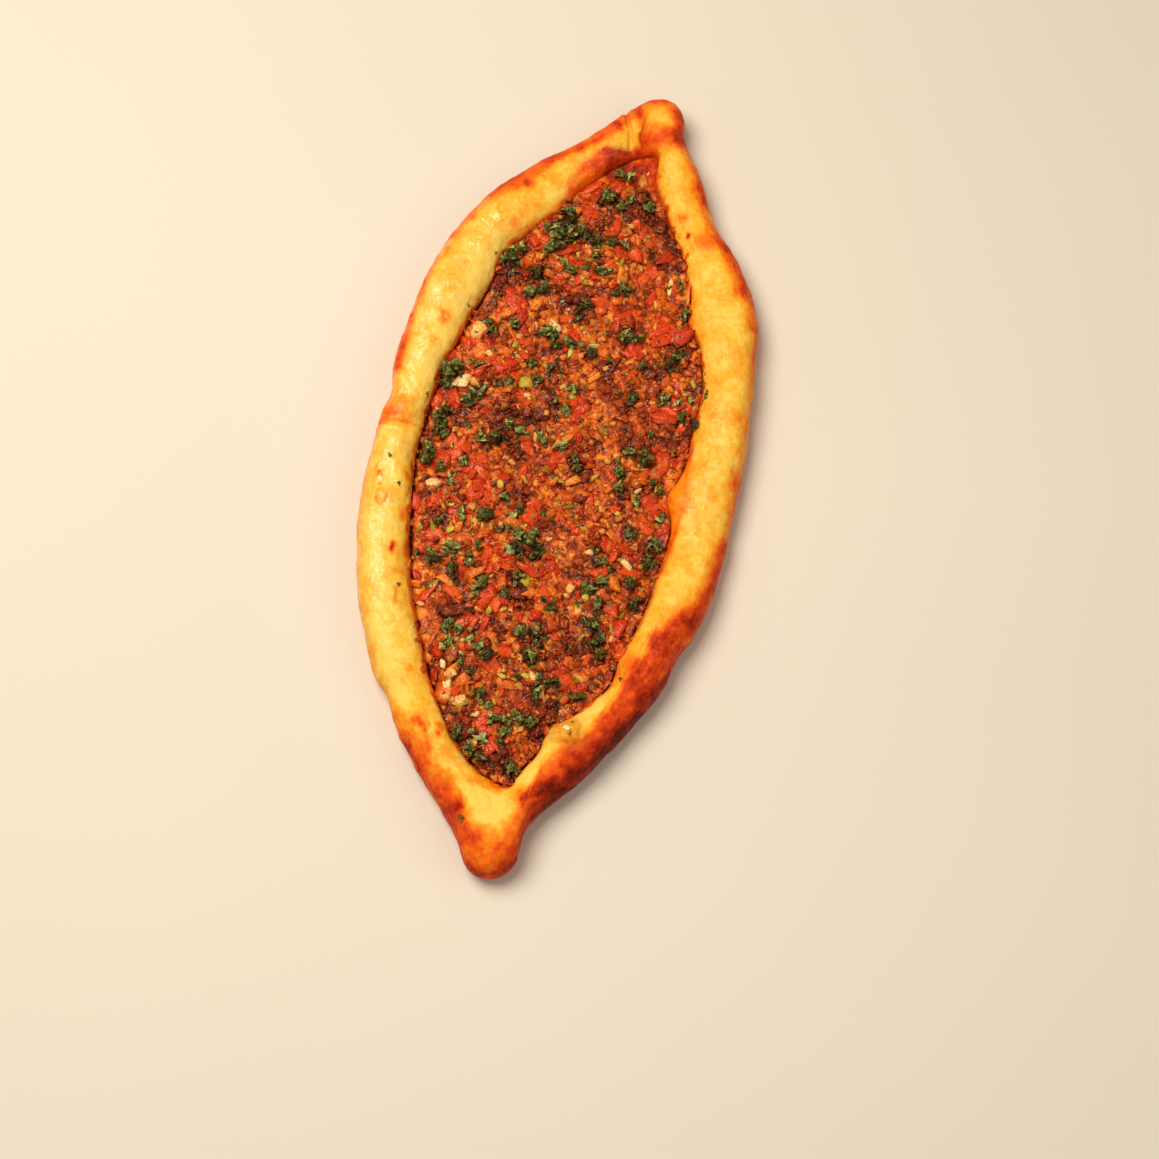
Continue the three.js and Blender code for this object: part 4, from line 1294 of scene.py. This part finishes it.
litter(fine, 240, (0.4, 0.9), (0.4, 0.62))
litter(shreds, 90, (0.8, 1.8), (0.4, 0.7))
litter(orange, 40, (0.8, 1.8), (0, 0.7))
litter(parsley, 16, (0.5, 1.1), (0, 0.8))

# %% [markdown]
# ## Painted shade in the gaps
#
# Wherever a piece is lower than what surrounds it, its colour is darkened to a near-black brown, partly
# gravy gathered there and partly painted shade for the shadow between pieces. The finished map of heights,
# blurred over a few millimetres, says where that is. The value `sunk` is 0 on top of the heap and 1 at
# 1.5 mm below its mean level. Thin sauce on bare dough gets hardly any of this painted shade, so it is
# spared, but the dark moat is not.

# %% How sunk each point is
# Where the painted shade in the gaps begins and where it is full, in mm below the blurred level.
GAP_SHADE_STARTS, GAP_SHADE_DEPTH, BLUR_CELLS, THIN_SPARES = -0.15, 1.5, 3, 0.85


def blurred(values, cells):
    """Each cell's mean over a square of cells round it."""
    for axis in (0, 1):
        values = sum(np.roll(values, shift, axis) for shift in range(-cells, cells + 1)) / (2 * cells + 1)
    return values


heap_mean = blurred(heap, BLUR_CELLS)


def sunk(points):
    around = heap_mean[cell_at(points[:, 0], points[:, 1], LAY_LOW, LAY_CELL, heap_mean)]
    return smoothstep(GAP_SHADE_STARTS, GAP_SHADE_DEPTH, around - points[:, 2])


thin_sauce = core_bare * (core_bare_shade > 0.25)
core_sunk = sunk(core_grid) * (1 - THIN_SPARES * thin_sauce)
core.data.attributes.new("sunk", "FLOAT", "POINT").data.foreach_set("value", core_sunk)
print("mean of sunk on the core:", core_sunk.mean().round(2))

# %% [markdown]
# ## Ingredient materials
#
# All of it is wet with oil and tomato juice, so every ingredient has a thin coat over a rougher body. The
# body colours differ, and within one ingredient each piece picks its own shade by its tint. The sauce also
# clings to everything in patches about 4 mm across, painted shade darkens the gaps, partly as gravy, and
# pale painted glints lie on top. That ties the heap together. Real glints are finer than half a millimetre,
# and the painted ones are drawn that coarse so that they show. Water has an index of 1.33 and oil of 1.47,
# so moist food lies near 1.4.

# %% Looks that the ingredients share
# The colour of the sauce, and the near-black brown painted as shade into the gaps, partly as gravy.
SAUCE, GAP_SHADE = "#B8400F", "#280A06"
FILM_ROUGHNESS, FILM_MM = 0.08, 1.5


def painted_gap_shade_over(tree, colour, most):
    """Darkens a colour where the surface lies sunk: partly gravy, partly painted shade between pieces."""
    depth = add_node(tree, "Attribute", {}, out="Fac", attribute_name="sunk")
    cover = add_node(tree, "Math", {0: depth, 1: most}, operation="MULTIPLY")
    return add_node(tree, "Mix", {0: cover, 6: colour, 7: linear(GAP_SHADE)}, out=2, data_type="RGBA")


def painted_glints_over(tree, place, colour, painted_glint_colour, most):
    """Pale painted glints about half a millimetre across, standing for light caught on the wet grain."""
    glint_spots = add_node(
        tree, "TexNoise", {"Vector": place, "Scale": per_metre(0.8), "Detail": 2.0, "Roughness": 0.8},
    )
    cover = add_node(tree, "MapRange", {"Value": glint_spots, "From Min": 0.58, "From Max": 0.72, "To Max": most})
    return add_node(tree, "Mix", {0: cover, 6: colour, 7: linear(painted_glint_colour)}, out=2, data_type="RGBA")


def wet_film(tree, place):
    """The surface of the juice: gentler than what it covers, so its glints are about a millimetre wide."""
    ripple = add_node(tree, "TexNoise", {"Vector": place, "Scale": per_metre(FILM_MM), "Detail": 1.0})
    return add_node(tree, "Bump", {"Height": ripple, "Strength": 0.7, "Distance": FILM_MM * MM * 0.5})


# %% One recipe for moist food


def moist_food(name, shades, grain_mm, relief, roughness, coat, mottling, sauce, smear=SAUCE,
               painted_glints=("#E8B070", 0.3)):
    """Shades from darkest to palest, picked by a piece's tint, mottled by a grain and smeared with sauce."""
    material, tree = new_material(name)
    place = add_node(tree, "TexCoord", {}, out="Object")
    tint = add_node(tree, "Attribute", {}, out="Fac", attribute_name="tint")
    grit = add_node(
        tree, "TexNoise", {"Vector": place, "Scale": per_metre(grain_mm), "Detail": 4.0, "Roughness": 0.65},
    )
    centred = add_node(tree, "Math", {0: grit, 1: 0.5}, operation="SUBTRACT")
    shade = add_node(tree, "Math", {0: centred, 1: mottling * 3, 2: tint}, operation="MULTIPLY_ADD")
    stops = [(k / (len(shades) - 1), colour) for k, colour in enumerate(shades)]
    body = add_node(tree, "ValToRGB", {"Fac": shade}, stops)
    patch = add_node(
        tree, "TexNoise", {"Vector": place, "Scale": per_metre(4), "Detail": 4.0, "Roughness": 0.7},
    )
    cover = add_node(tree, "MapRange", {"Value": patch, "From Min": 0.4, "From Max": 0.6, "To Max": sauce})
    smeared = add_node(tree, "Mix", {0: cover, 6: body, 7: linear(smear)}, out=2, data_type="RGBA")
    drier, wetter = roughness + 0.1, roughness - 0.1
    wet = {"Value": grit, "From Min": 0.35, "From Max": 0.65, "To Min": wetter, "To Max": drier}
    bump = {"Height": grit, "Strength": relief, "Distance": grain_mm * MM * 0.5}
    # The colour gets pale painted glints, then painted shade where the piece lies sunk.
    shader = add_node(tree, "BsdfPrincipled", {
        "Base Color": painted_gap_shade_over(tree, painted_glints_over(tree, place, smeared, *painted_glints), 0.6),
        "Roughness": add_node(tree, "MapRange", wet), "Normal": add_node(tree, "Bump", bump),
        "IOR": 1.4, "Specular IOR Level": 0.1, "Coat Weight": coat, "Coat Roughness": FILM_ROUGHNESS,
        "Coat IOR": 1.45, "Coat Normal": wet_film(tree, place),
    })
    add_node(tree, "OutputMaterial", {"Surface": shader})
    return material


# %% [markdown]
# The numbers after the shades are the grain in millimetres, how strong its relief is, the body's roughness,
# the wet coat, how mottled a piece is, and how much sauce clings to it. A smear of another colour, and the
# colour and cover of the painted glints, come last.

# %% Ingredient colours
# Fried mince: dark red-brown and craggy, wet only on its knobs.
browned_mince = moist_food("browned_mince", ["#42120A", "#6C220E", "#943412", "#B24C1A"],
                           0.9, 0.8, 0.6, 0.42, 0.5, 0.45, "#A4380E", ("#D08A5C", 0.5))
# Tomato cooked soft: clear red to orange-red, smooth and shiny.
stewed_tomato = moist_food("stewed_tomato", ["#96160A", "#BC240C", "#D0380E", "#DC561A"],
                           1.2, 0.5, 0.5, 0.45, 0.9, 0.5, "#C0460F", ("#F09040", 0.4))
# Pepper cooked in oil: bright orange with paler flesh at the cuts.
orange_pepper = moist_food("orange_pepper", ["#B0400A", "#D0560C", "#E07414", "#F0A034"],
                           1.2, 0.4, 0.5, 0.45, 0.9, 0.5, "#B8400F", ("#F8C880", 0.4))
# Onion: translucent, from fried brown to cream, the palest thing in the heap.
softened_onion = moist_food("softened_onion", ["#A05A2A", "#C47E36", "#E4AE56", "#FFE8A8"],
                            1.2, 0.4, 0.5, 0.4, 0.45, 0.28)
# Green pepper loses its green in the oven and turns olive-yellow.
green_pepper = moist_food("green_pepper", ["#7A6214", "#988A1E", "#BCAC30", "#D4CA58"],
                          1.0, 0.4, 0.5, 0.4, 0.6, 0.3)
# Parsley: nearly black-green where it is folded and wet, light at its fresh edges.
chopped_parsley = moist_food("chopped_parsley", ["#1A2109", "#384E10", "#6A8828", "#C4D07A"],
                             1.0, 0.6, 0.5, 0.5, 1.0, 0.3, "#7A3A14", ("#D0D498", 0.6))
# Crumbs of everything: brown, orange, red and straw.
mixed_crumbs = moist_food("mixed_crumbs", ["#481A0A", "#802E0E", "#B84A12", "#D4701A", "#B02A0C", "#E4A448"],
                          0.8, 0.3, 0.45, 0.34, 0.3, 0.3)

# %% [markdown]
# ## Sauce between the pieces
#
# What shows between the pieces is tomato paste, fat and pressed mince: the core. Each of its grains has a
# shade from brown meat to orange sauce, and in the red pools the sauce is melted tomato. Where the heap is
# bare the sauce is thin and the dough glows through it, more orange.

# %% Sauce and mince material
PRESSED_MINCE = [(0.0, "#380E08"), (0.2, "#60200C"), (0.4, "#983410"), (0.6, "#C04C12"), (0.8, "#DA6C18"),
                 (1.0, "#E8942A")]
THIN_SAUCE = [(0.0, "#4E1408"), (0.25, "#8C220A"), (0.5, "#C83C0C"), (0.75, "#E06C12"), (1.0, "#EA9422")]
MELTED_TOMATO = [(0.2, "#6A1608"), (0.5, "#A8240C"), (0.8, "#C43812"), (1.0, "#D05A1C")]


def sauce_and_mince():
    material, tree = new_material("sauce_and_mince")
    place = add_node(tree, "TexCoord", {}, out="Object")
    keys = ("tint", "bare", "red")
    tint, bareness, redness = (add_node(tree, "Attribute", {}, out="Fac", attribute_name=key) for key in keys)
    grit = add_node(
        tree, "TexNoise", {"Vector": place, "Scale": per_metre(0.9), "Detail": 4.0, "Roughness": 0.7},
    )
    centred = add_node(tree, "Math", {0: grit, 1: 0.5}, operation="SUBTRACT")
    shade = add_node(tree, "Math", {0: centred, 1: 0.8, 2: tint}, operation="MULTIPLY_ADD")
    pools = add_node(
        tree, "TexNoise", {"Vector": place, "Scale": per_metre(5), "Detail": 4.0, "Roughness": 0.6},
    )
    pooled = add_node(tree, "Math", {0: pools, 1: 0.5}, operation="SUBTRACT")
    pool_shade = add_node(tree, "Math", {0: pooled, 1: 1.8, 2: tint}, operation="MULTIPLY_ADD")
    pressed = add_node(tree, "ValToRGB", {"Fac": shade}, PRESSED_MINCE)
    melted_red = add_node(tree, "ValToRGB", {"Fac": shade}, MELTED_TOMATO)
    thin = add_node(tree, "ValToRGB", {"Fac": pool_shade}, THIN_SAUCE)
    reddened = add_node(tree, "Mix", {0: redness, 6: pressed, 7: melted_red}, out=2, data_type="RGBA")
    colour = add_node(tree, "Mix", {0: bareness, 6: reddened, 7: thin}, out=2, data_type="RGBA")
    # The colour gets pale painted glints, then painted shade where the core lies sunk.
    shader = add_node(tree, "BsdfPrincipled", {
        "Base Color": painted_gap_shade_over(tree, painted_glints_over(tree, place, colour, "#E89850", 0.4), 0.75),
        "Roughness": add_node(tree, "MapRange", {"Value": grit, "To Min": 0.35, "To Max": 0.65}),
        "Normal": add_node(tree, "Bump", {"Height": grit, "Strength": 0.8, "Distance": 0.6 * MM}),
        "IOR": 1.42, "Specular IOR Level": 0.1, "Coat Weight": 0.4, "Coat Roughness": FILM_ROUGHNESS,
        "Coat Normal": wet_film(tree, place),
    })
    add_node(tree, "OutputMaterial", {"Surface": shader})
    return material


core.data.materials.append(sauce_and_mince())

# %% Build every kind
KIND_MATERIALS = [
    (grains, browned_mince), (clumps, browned_mince), (tomato, stewed_tomato), (orange, orange_pepper),
    (onion, softened_onion), (green, green_pepper), (parsley, chopped_parsley), (fine, mixed_crumbs),
    (shreds, mixed_crumbs),
]
for kind, material in KIND_MATERIALS:
    kind.build(material)

# %% [markdown]
# ## Table, light and camera
#
# The bread lies on a plain pale matt table, so wide that its edge shows in no view. A large soft light
# hangs above its far left, which lays a broad soft gloss along the left rim and a soft shadow to the right,
# and a weak one fills from the other side. Small lights would give hard, glaring spots on the egg wash.

# %% Table
TABLE_SIZE = 30
bpy.ops.mesh.primitive_plane_add(size=TABLE_SIZE, location=(0, 0, 0))
table = bpy.context.object
table.name = "table"
pale, pale_tree = new_material("pale_matt_table")
pale_grain = add_node(pale_tree, "TexNoise", {"Scale": per_metre(25), "Detail": 3.0})
pale_colour = add_node(pale_tree, "ValToRGB", {"Fac": pale_grain}, [(0.3, "#D6D2CB"), (0.7, "#DCD9D3")])
pale_shader = add_node(pale_tree, "BsdfPrincipled", {"Base Color": pale_colour, "Roughness": 0.7})
add_node(pale_tree, "OutputMaterial", {"Surface": pale_shader})
table.data.materials.append(pale)

# %% [markdown]
# The camera looks down steeply and is turned a little, so the bread leans to the right. The lens follows
# from how wide a strip of table it has to see at that distance.

# %% Camera
SHOT_TURN, SHOT_HEIGHT, SHOT_DISTANCE, SHOT_WIDTH = math.radians(12.44), math.radians(73), 1.15, 0.519
LOOK_AT = Vector((0.02225, -0.04957, 0.01))
SENSOR_WIDTH = 36
UP = Vector((0, 0, 1))
picture_right = Vector((math.cos(SHOT_TURN), math.sin(SHOT_TURN), 0))
picture_up_flat = Vector((-math.sin(SHOT_TURN), math.cos(SHOT_TURN), 0))
back = UP * math.sin(SHOT_HEIGHT) - picture_up_flat * math.cos(SHOT_HEIGHT)
axes = Matrix((picture_right, back.cross(picture_right), back)).transposed().to_4x4()
camera_data = bpy.data.cameras.new("camera")
camera = bpy.data.objects.new("camera", camera_data)
bpy.context.collection.objects.link(camera)
camera.matrix_world = Matrix.Translation(LOOK_AT + back * SHOT_DISTANCE) @ axes
camera_data.sensor_width = SENSOR_WIDTH
camera_data.lens = SENSOR_WIDTH * SHOT_DISTANCE / SHOT_WIDTH
bpy.context.scene.camera = camera
print("lens in mm:", round(camera_data.lens, 1))

# %% Lights
WARM_ROOM, ROOM_STRENGTH = "#FFEAD2", 0.35


def soft_light(name, right, far, high, size, power, colour):
    """A round light as far to the right, away and up from the bread as said, in metres, that faces it."""
    offset = picture_right * right + picture_up_flat * far + UP * high
    data = bpy.data.lights.new(name, "AREA")
    data.shape, data.size, data.energy, data.color = "DISK", size, power, linear(colour)[:3]
    made = bpy.data.objects.new(name, data)
    bpy.context.collection.objects.link(made)
    made.location = LOOK_AT + offset
    made.rotation_mode = "QUATERNION"
    made.rotation_quaternion = offset.to_track_quat("Z", "Y")


soft_light("key_light", -0.4, 0.26, 1.1, 0.75, 15.0, "#FFF2DC")
soft_light("fill_light", 0.9, -0.3, 0.9, 0.9, 2.5, "#FFF2E0")
world = bpy.data.worlds.new("soft_room")
bpy.context.scene.world = world
world.use_nodes = True
room = world.node_tree.nodes["Background"].inputs
room["Color"].default_value, room["Strength"].default_value = linear(WARM_ROOM), ROOM_STRENGTH
bpy.context.scene.view_settings.view_transform = "Standard"
